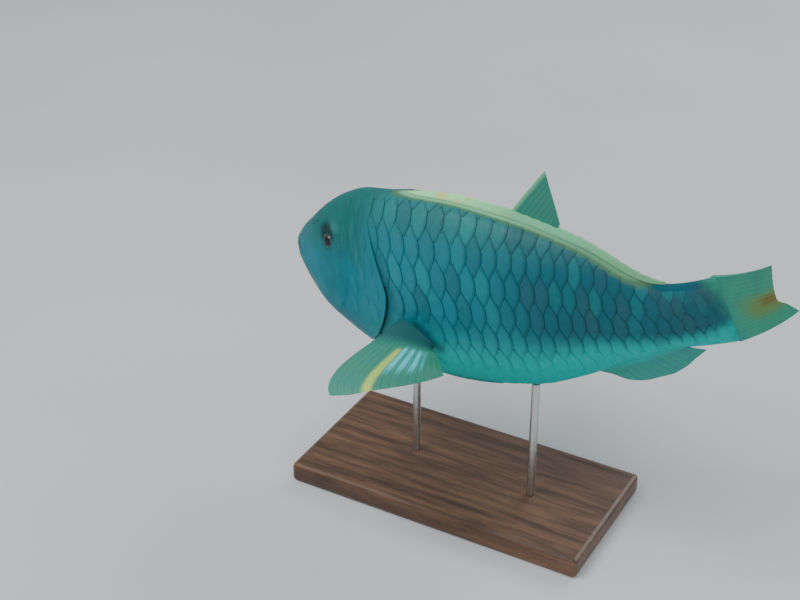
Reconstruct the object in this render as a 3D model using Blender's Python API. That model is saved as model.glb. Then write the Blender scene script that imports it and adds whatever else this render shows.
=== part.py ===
"""Parrotfish in a swimming pose, life size, on a plain display stand.

The head points along -X, the fish's left flank faces -Y, and the origin is the centre of
the base's underside. Places on the body are given as a station, which is the share of the
standard length from the snout tip to the root of the tail fin, and an angle round the body,
which is 0 at the left side, a quarter turn at the back and minus a quarter turn at the belly.
Heights and widths are shares of the standard length as well.
"""

import math

import bmesh
import bpy
from mathutils import Matrix, Vector

STANDARD_LENGTH = 0.35
NOSE_DOWN = math.radians(7.7)
GAP = 0.0003
WALL_GAP = 0.0012

# The display stand
BASE_SIZE = (0.23, 0.115, 0.015)
BASE_EDGE = 0.003
ROD_RADIUS = 0.003
ROD_STATIONS = (0.30, 0.585)
MIDDLE_STATION = 0.45
MIDDLE_HEIGHT = 0.168

# Where the body is parted
GILL_SIDE = 0.315
GILL_TOP = 0.235
GILL_THROAT = 0.20
GILL_ROOT = 0.185
GILL_PROUD = 0.001
CHEEK_SHARE = 0.62
CHEEK_PROUD = 0.0006
CHEEK_COLUMNS = 3
CHEEK_STEP = 0.008
FACE_RINGS = 17
WALL_FILLS = (0.94, 0.8, 0.5)
TAIL_START = 0.72
TAIL_END_TOP = 0.955
TAIL_END_BELLY = 1.0

# Lines round the body, two to a row of scales, and columns of scales along it
TORSO_ROWS = 16
TORSO_COLUMNS = 14
TAIL_ROWS = 8
TAIL_COLUMNS = 7
SCALE_LIFT = 0.0009
SCALE_STEP = 0.0007
ROW_SHARE = 0.6
ROUNDNESS = 0.186

# The eye and the beak, in shares of the standard length
EYE_STATION = 0.13
EYE_HEIGHT = 0.07
EYE_RADIUS = 0.025
EYE_SUNK = 0.0165
BEAK_CENTRE = (0.016, 0.0125)
BEAK_RADII = (0.027, 0.0145, 0.016)
MOUTH_TILT = math.radians(-8)
MOUTH_CORNER = 0.034
MOUTH_WIDTH = 0.1
MOUTH_SLIT = 0.0005
LIP_STATION = 0.003
LIP_RADIUS = 0.016
LIP_THICKNESS = 0.0062
ORBIT_RADIUS = 0.0195
ORBIT_THICKNESS = 0.0034
ORBIT_SUNK = 0.0005
NOSTRILS = ((0.083, 0.088), (0.094, 0.096))
NOSTRIL_RADIUS = 0.0006

# Edges that turn by more degrees than this are shown sharp
SHARP_ANGLE = 18

# The fins, and the station and height of points along the pectoral fin's root
RAY_RIDGE = 0.0004
PECTORAL_ROOTS = ((0.338, -0.05), (0.372, -0.072), (0.405, -0.1))
BARE_REACH = 0.075


def smooth_curve(*knots):
    """A function through the (place, value) knots that never overshoots them."""
    places = [place for place, _ in knots]
    values = [value for _, value in knots]
    slopes = [
        (values[i + 1] - values[i]) / (places[i + 1] - places[i])
        for i in range(len(knots) - 1)
    ]
    tangents = [slopes[0]]
    for before, after in zip(slopes, slopes[1:]):
        tangents.append(0 if before * after <= 0 else 2 * before * after / (before + after))
    tangents.append(slopes[-1])

    def value(at):
        at = min(max(at, places[0]), places[-1])
        i = max(j for j in range(len(places) - 1) if places[j] <= at)
        span = places[i + 1] - places[i]
        x = (at - places[i]) / span
        rise = values[i + 1] - values[i]
        start, end = tangents[i] * span, tangents[i + 1] * span
        return values[i] + x * start + x * x * (3 * rise - 2 * start - end) + x**3 * (
            start + end - 2 * rise
        )

    return value


# How far the body turns towards its left flank, in degrees, as the tail sweeps to the right
BEND = smooth_curve(
    (0, 7.8), (0.15, 12.9), (0.3, 10.6), (0.45, 4.5), (0.6, 2.5), (0.75, 2.4), (0.88, -25.9),
    (1, -50.5),
)
BACK = smooth_curve(
    (0, 0.037), (0.02, 0.0604), (0.05, 0.0867), (0.1, 0.127), (0.15, 0.156), (0.2, 0.1735),
    (0.24, 0.178), (0.32, 0.1895), (0.41, 0.1923), (0.55, 0.177), (0.7, 0.14), (0.88, 0.0742),
    (1, 0.0823),
)
BELLY = smooth_curve(
    (0, 0.0113), (0.02, 0.0467), (0.05, 0.086), (0.1, 0.1253), (0.2, 0.1549), (0.32, 0.1813),
    (0.45, 0.192), (0.6, 0.1755), (0.7, 0.1394), (0.8, 0.087), (0.88, 0.0634), (1, 0.0791),
)
HALF_WIDTH = smooth_curve(
    (0, 0.016), (0.02, 0.028), (0.05, 0.043), (0.1, 0.06), (0.2, 0.078), (0.35, 0.088),
    (0.5, 0.082), (0.6, 0.071), (0.8, 0.038), (0.9, 0.024), (1, 0.013),
)


def tailward(station):
    """The unit vector along the body towards the tail."""
    turn = math.radians(BEND(station))
    flat = math.cos(NOSE_DOWN)
    return Vector((math.cos(turn) * flat, -math.sin(turn) * flat, math.sin(NOSE_DOWN)))


def leftward(station):
    """The unit vector out of the left flank."""
    turn = math.radians(BEND(station))
    return Vector((-math.sin(turn), -math.cos(turn), 0))


def upward(station):
    return leftward(station).cross(tailward(station))


def spine_path(steps=200):
    """Points along the middle of the body, from the snout tip to the root of the tail fin."""
    points = [Vector((0, 0, 0))]
    for i in range(steps):
        points.append(points[-1] + tailward((i + 0.5) / steps) * STANDARD_LENGTH / steps)
    middle = points[round(MIDDLE_STATION * steps)]
    lift = Vector((0, 0, MIDDLE_HEIGHT))
    return [point - middle + lift for point in points]


SPINE = spine_path()


def spine(station):
    last = len(SPINE) - 1
    if station >= 1:
        return SPINE[last] + tailward(1) * (station - 1) * STANDARD_LENGTH
    if station <= 0:
        return SPINE[0] + tailward(0) * station * STANDARD_LENGTH
    i = min(int(station * last), last - 1)
    return SPINE[i].lerp(SPINE[i + 1], station * last - i)


def from_spine(station, left, up):
    """The point this far to the left of and above the spine, in shares of the standard length."""
    side = leftward(station) * left + upward(station) * up
    return spine(station) + side * STANDARD_LENGTH


def power(value, exponent):
    return math.copysign(abs(value) ** exponent, value)


def body_point(station, angle, fill=1.0, proud=0.0):
    """A point of the body's surface, or inside it where fill is below 1, proud in metres."""
    extra = proud / STANDARD_LENGTH
    left = (HALF_WIDTH(station) + extra) * power(math.cos(angle), 0.9)
    rise = math.sin(angle)
    if rise > 0:
        up = (BACK(station) + extra) * power(rise, 0.95)
    else:
        up = (BELLY(station) + extra) * power(rise, 0.85)
    return from_spine(station, left * fill, up * fill)


def flank_normal(station, angle):
    """The direction straight out of the body's surface, on its left flank."""
    step = 0.002
    along = body_point(station + step, angle) - body_point(station - step, angle)
    around = body_point(station, angle + step) - body_point(station, angle - step)
    normal = along.cross(around).normalized()
    return normal if normal.dot(leftward(station)) > 0 else -normal


def angle_at_height(station, up):
    """The angle round the body of the point of the left flank at this height over the spine."""
    if up > 0:
        return math.asin(min(1, (up / BACK(station)) ** (1 / 0.95)))
    return -math.asin(min(1, (-up / BELLY(station)) ** (1 / 0.85)))


def line_angle(turn):
    """Turns of 0 to 1 round the body, spaced by length along the skin, as an angle."""
    angle = turn * math.tau
    return angle - ROUNDNESS * math.sin(2 * angle)


def row_lines(rows):
    """The (angle, row) of the lines round the body: each row's upper and lower end.

    The rows along the back and along the belly have a line at their middle as well.
    """
    lines = []
    half = ROW_SHARE / 2
    for row in range(rows):
        on_edge = row % (rows // 2) == rows // 4
        shares = (-half, 0, half) if on_edge else (-half, half)
        lines += [(line_angle((row + share) / rows), row) for share in shares]
    return lines


def gill_station(angle):
    """The station of the gill cover's free edge at this angle."""
    rise = math.sin(angle)
    if rise > 0:
        return GILL_SIDE + (GILL_TOP - GILL_SIDE) * rise**1.2
    return GILL_SIDE + (GILL_THROAT - GILL_SIDE) * (-rise) ** 1.5


def gill_proud(angle):
    """How far the gill cover's edge stands out of the torso, which is nothing at the nape."""
    return GILL_PROUD * min(1, max(0, (0.96 - math.sin(angle)) * 4))


def gill_wall(angle, fill):
    """The hollow rear of the head, which overlaps the torso as the gill covers do."""
    station = GILL_ROOT + (gill_station(angle) - GILL_ROOT) * fill**3
    return body_point(station, angle, fill)


def gill_wall_behind(angle, fill):
    """The torso's front, a gap behind the wall of the head."""
    step = 0.01
    point = gill_wall(angle, fill)
    outward = point - gill_wall(angle, fill - step)
    around = gill_wall(angle + step, fill) - gill_wall(angle - step, fill)
    away = outward.cross(around).normalized()
    inside = tailward(GILL_SIDE) - outward.normalized()
    if away.dot(inside) < 0:
        away.negate()
    return point + away * WALL_GAP


def face_outwards(bm):
    """Turns the faces of a closed mesh outwards."""
    bmesh.ops.recalc_face_normals(bm, faces=bm.faces)
    if bm.calc_volume(signed=True) < 0:
        bmesh.ops.reverse_faces(bm, faces=bm.faces)


def new_object(name, bm, colour, roughness=0.5, metallic=0.0):
    """A shaded object of its own for the node, with its own material."""
    face_outwards(bm)
    mesh = bpy.data.meshes.new(name)
    bm.to_mesh(mesh)
    bm.free()
    mesh.shade_smooth()
    mesh.set_sharp_from_angle(angle=math.radians(SHARP_ANGLE))
    material = bpy.data.materials.new(name)
    material.use_nodes = True
    shader = material.node_tree.nodes["Principled BSDF"]
    shader.inputs["Base Color"].default_value = (*colour, 1)
    shader.inputs["Roughness"].default_value = roughness
    shader.inputs["Metallic"].default_value = metallic
    mesh.materials.append(material)
    node = bpy.data.objects.new(name, mesh)
    parts.objects.link(node)
    return node


def ringed_solid(rings, lines, place):
    """A sphere's closed mesh with each ring's points put where place(ring, line) says."""
    bm = bmesh.new()
    bmesh.ops.create_uvsphere(bm, u_segments=lines, v_segments=rings, radius=1)
    for vert in bm.verts:
        ring = round(math.acos(max(-1, min(1, vert.co.z))) / math.pi * rings)
        line = round(math.atan2(vert.co.y, vert.co.x) / math.tau * lines) % lines
        vert.co = place(ring, line)
    bmesh.ops.triangulate(bm, faces=bm.faces, quad_method="SHORT_EDGE")
    return bm


def head_rings():
    """The share of the way to the gill cover's edge and the height of each ring of the head.

    There are two lists, for the even and the odd rows. The rings crowd at the snout, step down
    behind the cheek, and carry a few columns of scales on the gill cover.
    """
    shares = [CHEEK_SHARE * (ring / FACE_RINGS) ** 1.5 for ring in range(FACE_RINGS + 1)]
    smooth = [(share, CHEEK_PROUD * (share / CHEEK_SHARE) ** 4) for share in shares]
    smooth.append((CHEEK_SHARE + 0.02, 0))
    even, odd = scale_places(CHEEK_COLUMNS, CHEEK_SHARE + 0.03, 1, CHEEK_STEP)
    return smooth + even + [(1, 0)], smooth + odd + [(1, 0)]


def make_head():
    """The head with its gill covers, whose free rear edges lie over the torso."""
    lines = row_lines(TORSO_ROWS)
    even, odd = head_rings()
    rings = len(even) + len(WALL_FILLS) + 1

    def place(ring, line):
        angle, row = lines[line]
        if ring == 0:
            return from_spine(-0.003, 0, 0.013)
        if ring == rings:
            return gill_wall(angle, 0)
        if ring > len(even):
            return gill_wall(angle, WALL_FILLS[ring - len(even) - 1])
        share, lift = (odd if row % 2 else even)[ring - 1]
        station = gill_station(angle) * share
        flap = gill_proud(angle) * max(0, share * 4 - 3) ** 0.7
        return body_point(station, angle, 1, flap + lift * bareness(station, angle))

    bm = ringed_solid(rings, len(lines), place)
    head = new_object("head", bm, (0.12, 0.33, 0.34), 0.42)
    join_into(head, orbit_rim(1), orbit_rim(-1), lips(), *nostrils(1.5 * NOSTRIL_RADIUS, 0.0006))
    cut_from(
        head, beak_form(GAP), eye_form(1, GAP), eye_form(-1, GAP), mouth_slit(),
        *nostrils(NOSTRIL_RADIUS, 0.004),
    )


def bareness(station, angle):
    """How much of their height the scales have: less along the back, the belly and fin roots."""
    edge = min(1, (abs(math.cos(angle)) * 1.8) ** 2)
    station_of_fin, height_of_fin = PECTORAL_ROOTS[1]
    fin_angle = angle_at_height(station_of_fin, height_of_fin)
    around = min(abs(angle - fin_angle), abs(angle - math.pi + fin_angle))
    reach = math.hypot(station - station_of_fin, around * BACK(station))
    return edge * min(1, max(0, (reach - BARE_REACH) / 0.02))


def scale_places(columns, start, end, step):
    """The share of the way along the body and the lift of each ring of a row, even or odd."""
    pitch = (end - start) / (columns + 1)
    even, odd = [], []
    for column in range(1, columns + 1):
        middle = start + column * pitch
        even += [(middle - step, SCALE_LIFT), (middle + step, 0)]
        odd += [(middle - pitch / 2 + step, 0), (middle + pitch / 2 - step, SCALE_LIFT)]
    return even, odd


def scaled_solid(rows, columns, front, side_start, side_end, rear):
    """A length of the body in rows of scales, between rings of points that close its ends.

    front and rear are functions of an angle for each closing ring, the pole first or last.
    """
    lines = row_lines(rows)
    length = (side_end(0) - side_start(0)) * STANDARD_LENGTH
    even, odd = scale_places(columns, 0, 1, SCALE_STEP / length)
    rings = len(front) + len(rear) + 2 * columns - 1

    def place(ring, line):
        angle, row = lines[line]
        if ring < len(front):
            return front[ring](angle)
        if ring > rings - len(rear):
            return rear[ring - rings - 1](angle)
        share, lift = (odd if row % 2 else even)[ring - len(front)]
        start, end = side_start(angle), side_end(angle)
        station = start + (end - start) * share
        return body_point(station, angle, 1, lift * bareness(station, angle))

    return ringed_solid(rings, len(lines), place)


def flat_end(station, fill):
    return lambda angle: body_point(station, angle, fill)


def make_torso():
    pole = gill_wall(0, 0) + tailward(GILL_ROOT) * GAP * 1.3
    front = [lambda angle: pole]
    for fill in reversed(WALL_FILLS):
        front.append(lambda angle, fill=fill: gill_wall_behind(angle, fill))
    front.append(lambda angle: body_point(gill_front(angle), angle))
    rear = [flat_end(TAIL_START, fill) for fill in (1, 0.5, 0)]
    bm = scaled_solid(TORSO_ROWS, TORSO_COLUMNS, front, gill_front, lambda angle: TAIL_START, rear)
    new_object("torso", bm, (0.08, 0.3, 0.33), 0.38)


def gill_front(angle):
    """The station where the torso's surface starts, behind the gill cover's edge."""
    flush = 1 - gill_proud(angle) / GILL_PROUD
    return gill_station(angle) + GAP / STANDARD_LENGTH * (1 + 5 * flush)


def tail_end(angle, fill=1.0):
    """The station of the slanting edge between the scales and the tail fin."""
    middle = (TAIL_END_TOP + TAIL_END_BELLY) / 2
    return middle + (TAIL_END_TOP - TAIL_END_BELLY) / 2 * math.sin(angle) * fill


def slanting_end(fill):
    return lambda angle: body_point(tail_end(angle, fill), angle, fill)


def make_tail_peduncle():
    start = TAIL_START + GAP / STANDARD_LENGTH
    front = [flat_end(start, fill) for fill in (0, 0.5, 1)]
    rear = [slanting_end(fill) for fill in (1, 0.5, 0)]
    bm = scaled_solid(TAIL_ROWS, TAIL_COLUMNS, front, lambda angle: start, tail_end, rear)
    new_object("tail_peduncle", bm, (0.07, 0.26, 0.3), 0.38)


def fin_sheet(rays, steps, place, half_thickness, between=2):
    """A closed web of fin rays, alike on both faces.

    place(across, along) gives the middle of the web, half_thickness(across, along, on_ray)
    its half thickness, both with shares of 0 to 1 from the first ray to the last and from
    root to tip. between is the number of strips from ray to ray.
    """
    columns = (rays - 1) * between
    bm = bmesh.new()
    bmesh.ops.create_grid(bm, x_segments=columns, y_segments=steps, size=1)
    bmesh.ops.triangulate(bm, faces=bm.faces)
    raised = bmesh.ops.extrude_face_region(bm, geom=bm.faces[:], use_keep_orig=True)["geom"]
    right_face = {item for item in raised if isinstance(item, bmesh.types.BMVert)}
    small = 0.004
    for vert in bm.verts:
        across, along = (vert.co.x + 1) / 2, (vert.co.y + 1) / 2
        on_ray = round(across * columns) % between == 0
        middle = place(across, along)
        over = place(min(1, across + small), along) - place(max(0, across - small), along)
        out = place(across, min(1, along + small)) - place(across, max(0, along - small))
        normal = over.cross(out).normalized()
        side = 1 if vert in right_face else -1
        vert.co = middle + normal * side * half_thickness(across, along, on_ray)
    return bm


def ray_thickness(root, tip):
    """Half thickness that tapers from root to tip, with the rays standing out of the web."""

    def half(across, along, on_ray):
        plain = root + (tip - root) * min(1, along * 1.3) ** 0.6
        return plain + RAY_RIDGE * (1 - 0.6 * along) if on_ray else plain

    return half


def along_edge(points):
    """A function of 0 to 1 through these points, smoothly, by each of their parts."""
    last = len(points) - 1
    parts_of = [
        smooth_curve(*[(i / last, point[part]) for i, point in enumerate(points)])
        for part in range(len(points[0]))
    ]
    return lambda share: [part(share) for part in parts_of]


def make_caudal_fin():
    """The tail fin, half closed, which droops a little as it trails round behind the tail."""
    # Height of the root, length and droop of each ray from the upper edge to the lower
    rays = along_edge(
        [
            (0.076, 0.15, -0.3), (0.04, 0.128, -0.32), (0, 0.12, -0.3), (-0.04, 0.142, -0.16),
            (-0.074, 0.168, -0.1),
        ]
    )

    def place(across, along):
        height, length, droop = rays(across)
        station = tail_end(angle_at_height(1, height)) + GAP * 3 / STANDARD_LENGTH
        root = from_spine(station, 0, height)
        way = (tailward(1) + upward(1) * droop - leftward(1) * 0.25 * along).normalized()
        return root + way * length * along * STANDARD_LENGTH

    bm = fin_sheet(15, 7, place, ray_thickness(0.0026, 0.0004))
    new_object("caudal_fin", bm, (0.25, 0.42, 0.33), 0.45)


def make_dorsal_fin():
    """The back fin, folded down into a low band, with a panel of soft rays still raised."""
    band_height = smooth_curve((0, 0.004), (0.1, 0.009), (0.4, 0.015), (0.7, 0.013), (1, 0.004))
    first, last, rays = 0.32, 0.865, 26

    def band(across, along):
        root = first + (last - first) * across
        station = root + 0.016 * along * min(1, (1 - across) * 8)
        tall = band_height(across) * (1 - 0.2 * between_rays(across, rays))
        return from_spine(station, 0, BACK(station) + GAP / STANDARD_LENGTH + tall * along)

    def band_half(across, along, on_ray):
        ends = min(1, across * 12 + 0.25, (1 - across) * 12 + 0.25)
        return (0.0026 - 0.0014 * along) * ends + (RAY_RIDGE if on_ray else 0)

    bm = fin_sheet(rays, 2, band, band_half)
    join_into(new_object("dorsal_fin", bm, (0.45, 0.5, 0.3), 0.45), make_raised_panel())


def between_rays(across, rays):
    """0 on a ray and 1 half way to the next."""
    return 0.5 - 0.5 * math.cos(across * (rays - 1) * math.tau)


def make_raised_panel():
    """The raised panel, from the long leading ray to the short last one."""
    # Station and height over the back of each ray's root and of its tip
    roots = along_edge([(0.558, 0.006), (0.59, 0.006), (0.625, 0.006), (0.655, 0.006)])
    tips = along_edge([(0.641, 0.121), (0.648, 0.09), (0.656, 0.058), (0.664, 0.022)])

    def place(across, along):
        root, tip = roots(across), tips(across)
        station = root[0] + (tip[0] - root[0]) * along
        height = root[1] + (tip[1] - root[1]) * along
        return from_spine(station, 0, BACK(station) + height)

    return fin_sheet(7, 6, place, ray_thickness(0.0009, 0.00028))


def join_into(node, *pieces):
    """Fuses closed meshes into the node with one union, and keeps its largest closed surface."""
    others = bpy.data.collections.new(node.name + "_pieces")
    bpy.context.scene.collection.children.link(others)
    for piece in pieces:
        face_outwards(piece)
        mesh = bpy.data.meshes.new("piece")
        piece.to_mesh(mesh)
        piece.free()
        others.objects.link(bpy.data.objects.new("piece", mesh))
    apply_boolean(node, "UNION", others)


def apply_boolean(node, operation, others):
    """Applies one Boolean with the closed meshes of a collection, then removes them."""
    modifier = node.modifiers.new(operation.lower(), "BOOLEAN")
    modifier.operation = operation
    modifier.operand_type = "COLLECTION"
    modifier.collection = others
    modifier.solver = "EXACT"
    graph = bpy.context.evaluated_depsgraph_get()
    result = bpy.data.meshes.new_from_object(node.evaluated_get(graph))
    node.modifiers.remove(modifier)
    keep_largest(result)
    old = node.data
    node.data = result
    bpy.data.meshes.remove(old)
    for piece in list(others.objects):
        bpy.data.objects.remove(piece)
    bpy.data.collections.remove(others)


def keep_largest(mesh):
    """Removes every closed surface of the mesh but the one with the most faces."""
    bm = bmesh.new()
    bm.from_mesh(mesh)
    left = set(bm.faces)
    surfaces = []
    while left:
        surface, front = set(), {left.pop()}
        while front:
            surface |= front
            edges = {edge for face in front for edge in face.edges}
            front = {face for edge in edges for face in edge.link_faces} - surface
        surfaces.append(surface)
        left -= surface
    largest = max(surfaces, key=len)
    loose = [face for surface in surfaces if surface is not largest for face in surface]
    bmesh.ops.delete(bm, geom=loose, context="FACES")
    bm.to_mesh(mesh)
    bm.free()


def make_anal_fin():
    """The fin under the tail, half folded, with its rays leaning back."""
    # Station of the root, and station and depth below the belly line of the tip, of each ray
    rays = along_edge(
        [
            (0.725, 0.755, 0.018), (0.75, 0.79, 0.043), (0.78, 0.83, 0.055), (0.81, 0.865, 0.057),
            (0.84, 0.892, 0.046), (0.865, 0.915, 0.026), (0.885, 0.935, 0.01),
        ]
    )

    def place(across, along):
        root, tip, depth = rays(across)
        station = root + (tip - root) * along
        down = GAP * 1.3 / STANDARD_LENGTH + depth * along
        return from_spine(station, 0, -BELLY(station) - down)

    bm = fin_sheet(12, 4, place, ray_thickness(0.0011, 0.0003))
    new_object("anal_fin", bm, (0.32, 0.45, 0.38), 0.45)


def make_pectoral_fin(name, side):
    """A breast fin spread straight out, from its fleshy root to the thin web.

    side is 1 for the left and -1 for the right.
    """
    # Length of each ray and its way back, out and up, from the leading ray to the last
    rays = along_edge(
        [
            (0.235, 0.03, 0.98, -0.21), (0.225, 0.12, 0.97, -0.15), (0.2, 0.24, 0.95, -0.1),
            (0.17, 0.35, 0.92, -0.09), (0.135, 0.5, 0.85, -0.09), (0.1, 0.7, 0.7, -0.08),
        ]
    )
    roots = along_edge(PECTORAL_ROOTS)

    def place(across, along):
        length, back, out, up = rays(across)
        station, height = roots(across)
        angle = angle_at_height(station, height)
        root = body_point(station, angle)
        normal = flank_normal(station, angle)
        spread = min(1, along * 4)
        way = tailward(station) * back + leftward(station) * out + upward(station) * up
        way = (normal * (1 - spread) + way.normalized() * spread).normalized()
        sag = upward(station) * -0.03 * along * along
        point = root + normal * GAP * 3.5 + (way * length * along + sag * length) * STANDARD_LENGTH
        return point if side > 0 else mirrored(point, station)

    bm = fin_sheet(12, 7, place, pectoral_thickness)
    new_object(name, bm, (0.35, 0.42, 0.33), 0.45)


def pectoral_thickness(across, along, on_ray):
    flesh = 0.0022 * max(0, 1 - along * 3.6) ** 1.5
    return 0.00045 - 0.00015 * along + flesh + (RAY_RIDGE * (1 - along * 0.6) if on_ray else 0)


def mirrored(point, station):
    """The same point on the other side of the body."""
    left = leftward(station)
    return point - left * 2 * (point - spine(station)).dot(left)


def make_pelvic_fin(name, side):
    """A belly fin folded back close along the belly."""
    rays = along_edge([(0.13, 0.008), (0.145, 0.012), (0.13, 0.02), (0.1, 0.028)])

    def place(across, along):
        length, away = rays(across)
        root = 0.375 + 0.022 * across
        station = root + length * along
        angle = -math.pi / 2 + 0.22 + 0.22 * across + 0.04 * along
        point = body_point(station, angle)
        normal = point - body_point(station, angle, 0.9)
        lift = GAP * 5 + (0.0012 + away * 0.04) * along
        point = point + normal.normalized() * lift
        return point if side > 0 else mirrored(point, station)

    bm = fin_sheet(6, 6, place, ray_thickness(0.0006, 0.0003))
    new_object(name, bm, (0.35, 0.45, 0.4), 0.45)


def beak_form(grow):
    """The rounded form of the closed beak, in the world."""
    bm = bmesh.new()
    bmesh.ops.create_uvsphere(bm, u_segments=20, v_segments=12, radius=1)
    at = BEAK_CENTRE[0]
    axes = Matrix((tailward(at), leftward(at), upward(at))).transposed().to_4x4()
    sizes = [radius * STANDARD_LENGTH + grow for radius in BEAK_RADII]
    bmesh.ops.scale(bm, vec=sizes, verts=bm.verts)
    bmesh.ops.transform(bm, matrix=Matrix.Translation(beak_centre()) @ axes, verts=bm.verts)
    return bm


def beak_centre():
    return from_spine(BEAK_CENTRE[0], 0, BEAK_CENTRE[1])


def mouth_axes():
    """Unit vectors back along the line of the mouth, to the left, and up across the line."""
    at = BEAK_CENTRE[0]
    turn = Matrix.Rotation(MOUTH_TILT, 3, leftward(at))
    return turn @ tailward(at), leftward(at), turn @ upward(at)


def make_beak(name, upper):
    """One plate of the beak, parted from the other along the line of the mouth."""
    bm = beak_form(0)
    kept = mouth_axes()[2] * (1 if upper else -1)
    cut = bmesh.ops.bisect_plane(
        bm, geom=bm.verts[:] + bm.edges[:] + bm.faces[:], plane_co=beak_centre() + kept * GAP * 0.7,
        plane_no=kept, clear_inner=True,
    )
    rim = [item for item in cut["geom_cut"] if isinstance(item, bmesh.types.BMEdge)]
    bmesh.ops.holes_fill(bm, edges=rim)
    bmesh.ops.triangulate(bm, faces=bm.faces)
    new_object(name, bm, (0.75, 0.74, 0.62), 0.3)


def on_side(station, height, side):
    """A point of the skin and the direction out of it, on the left or the right side."""
    angle = angle_at_height(station, height)
    point = body_point(station, angle)
    normal = flank_normal(station, angle)
    if side < 0:
        left = leftward(station)
        normal = normal - left * 2 * normal.dot(left)
        point = mirrored(point, station)
    return point, normal


def turned_ring(radius, thickness, centre, axis):
    """A ring of round section about an axis, its sizes in shares of the standard length."""
    bm = bmesh.new()
    upright = Matrix.Translation((radius * STANDARD_LENGTH, 0, 0))
    upright @= Matrix.Rotation(math.pi / 2, 4, "X")
    bmesh.ops.create_circle(bm, segments=8, radius=thickness * STANDARD_LENGTH, matrix=upright)
    bmesh.ops.spin(
        bm, geom=bm.verts[:] + bm.edges[:], axis=(0, 0, 1), cent=(0, 0, 0), steps=28,
        angle=math.tau, use_merge=True,
    )
    turn = axis.to_track_quat("Z", "Y").to_matrix().to_4x4()
    bmesh.ops.transform(bm, matrix=Matrix.Translation(centre) @ turn, verts=bm.verts)
    return bm


def orbit_rim(side):
    """The rim of skin round the eye, which stands in for the lids that a fish doesn't have."""
    skin, normal = on_side(EYE_STATION, EYE_HEIGHT, side)
    return turned_ring(ORBIT_RADIUS, ORBIT_THICKNESS, skin - normal * ORBIT_SUNK, normal)


def lips():
    """The lips as one full ring round the beak, which the mouth slit parts."""
    centre = from_spine(LIP_STATION, 0, BEAK_CENTRE[1])
    return turned_ring(LIP_RADIUS, LIP_THICKNESS, centre, tailward(LIP_STATION))


def mouth_slit():
    """A thin blade along the line of the mouth, back to its corners."""
    length = (MOUTH_CORNER + 0.03) * STANDARD_LENGTH
    bm = bmesh.new()
    bmesh.ops.create_cube(bm, size=1)
    bmesh.ops.scale(bm, vec=(length, MOUTH_WIDTH * STANDARD_LENGTH, MOUTH_SLIT), verts=bm.verts)
    axes = mouth_axes()
    corner = beak_centre() + axes[0] * (MOUTH_CORNER - BEAK_CENTRE[0]) * STANDARD_LENGTH
    matrix = Matrix.Translation(corner - axes[0] * length / 2)
    matrix @= Matrix(axes).transposed().to_4x4()
    bmesh.ops.transform(bm, matrix=matrix, verts=bm.verts)
    return bm


def nostrils(radius, depth):
    """A short round stub or bore at each nostril, two on either side."""
    stubs = []
    for station, height in NOSTRILS:
        for side in (1, -1):
            skin, normal = on_side(station, height, side)
            bm = bmesh.new()
            bmesh.ops.create_cone(
                bm, cap_ends=True, segments=10, radius1=radius, radius2=radius, depth=depth
            )
            turn = normal.to_track_quat("Z", "Y").to_matrix().to_4x4()
            bmesh.ops.transform(bm, matrix=Matrix.Translation(skin) @ turn, verts=bm.verts)
            stubs.append(bm)
    return stubs


def eye_form(side, grow):
    """The eyeball, sunk in the head so that a low dome of it shows."""
    skin, normal = on_side(EYE_STATION, EYE_HEIGHT, side)
    bm = bmesh.new()
    bmesh.ops.create_icosphere(bm, subdivisions=3, radius=EYE_RADIUS * STANDARD_LENGTH + grow)
    bmesh.ops.translate(bm, verts=bm.verts, vec=skin - normal * EYE_SUNK * STANDARD_LENGTH)
    return bm


def make_eye(name, side):
    new_object(name, eye_form(side, 0), (0.03, 0.03, 0.03), 0.08)


def cut_from(node, *pieces):
    """Cuts closed meshes out of the node."""
    cutters = bpy.data.collections.new(node.name + "_cutters")
    bpy.context.scene.collection.children.link(cutters)
    for piece in pieces:
        face_outwards(piece)
        mesh = bpy.data.meshes.new("cutter")
        piece.to_mesh(mesh)
        piece.free()
        cutter = bpy.data.objects.new("cutter", mesh)
        cutter.hide_render = True
        cutter.display_type = "WIRE"
        cutters.objects.link(cutter)
    apply_boolean(node, "DIFFERENCE", cutters)


def make_stand():
    """A flat wooden base and two short rods up to the belly."""
    bm = bmesh.new()
    bmesh.ops.create_cube(bm, size=1)
    bmesh.ops.scale(bm, vec=BASE_SIZE, verts=bm.verts)
    bmesh.ops.translate(bm, vec=(0, 0, BASE_SIZE[2] / 2), verts=bm.verts)
    bmesh.ops.bevel(
        bm, geom=bm.edges, offset=BASE_EDGE, segments=2, profile=0.5, affect="EDGES", material=-1
    )
    new_object("stand_base", bm, (0.08, 0.045, 0.025), 0.35)
    for name, station in zip(("stand_rod_front", "stand_rod_rear"), ROD_STATIONS):
        belly = body_point(station, -math.pi / 2)
        low, high = BASE_SIZE[2] + GAP, belly_height(belly) - GAP
        bm = bmesh.new()
        bmesh.ops.create_cone(
            bm, cap_ends=True, segments=24, radius1=ROD_RADIUS, radius2=ROD_RADIUS, depth=high - low
        )
        bmesh.ops.translate(bm, vec=(belly.x, belly.y, (low + high) / 2), verts=bm.verts)
        new_object(name, bm, (0.6, 0.6, 0.6), 0.25, 1.0)


def belly_height(place):
    """The lowest height of the belly over a rod's top that stands under this place."""
    heights = []
    for i in range(-20, 21):
        for j in range(-6, 7):
            station = min(max(MIDDLE_STATION + i * 0.015, 0), 1)
            point = body_point(station, -math.pi / 2 + j * 0.05)
            if math.hypot(point.x - place.x, point.y - place.y) < ROD_RADIUS * 2:
                heights.append(point.z)
    return min(heights)


for leftover in list(bpy.data.objects):
    bpy.data.objects.remove(leftover)
parts = bpy.data.collections.new("parrotfish")
bpy.context.scene.collection.children.link(parts)

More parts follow.
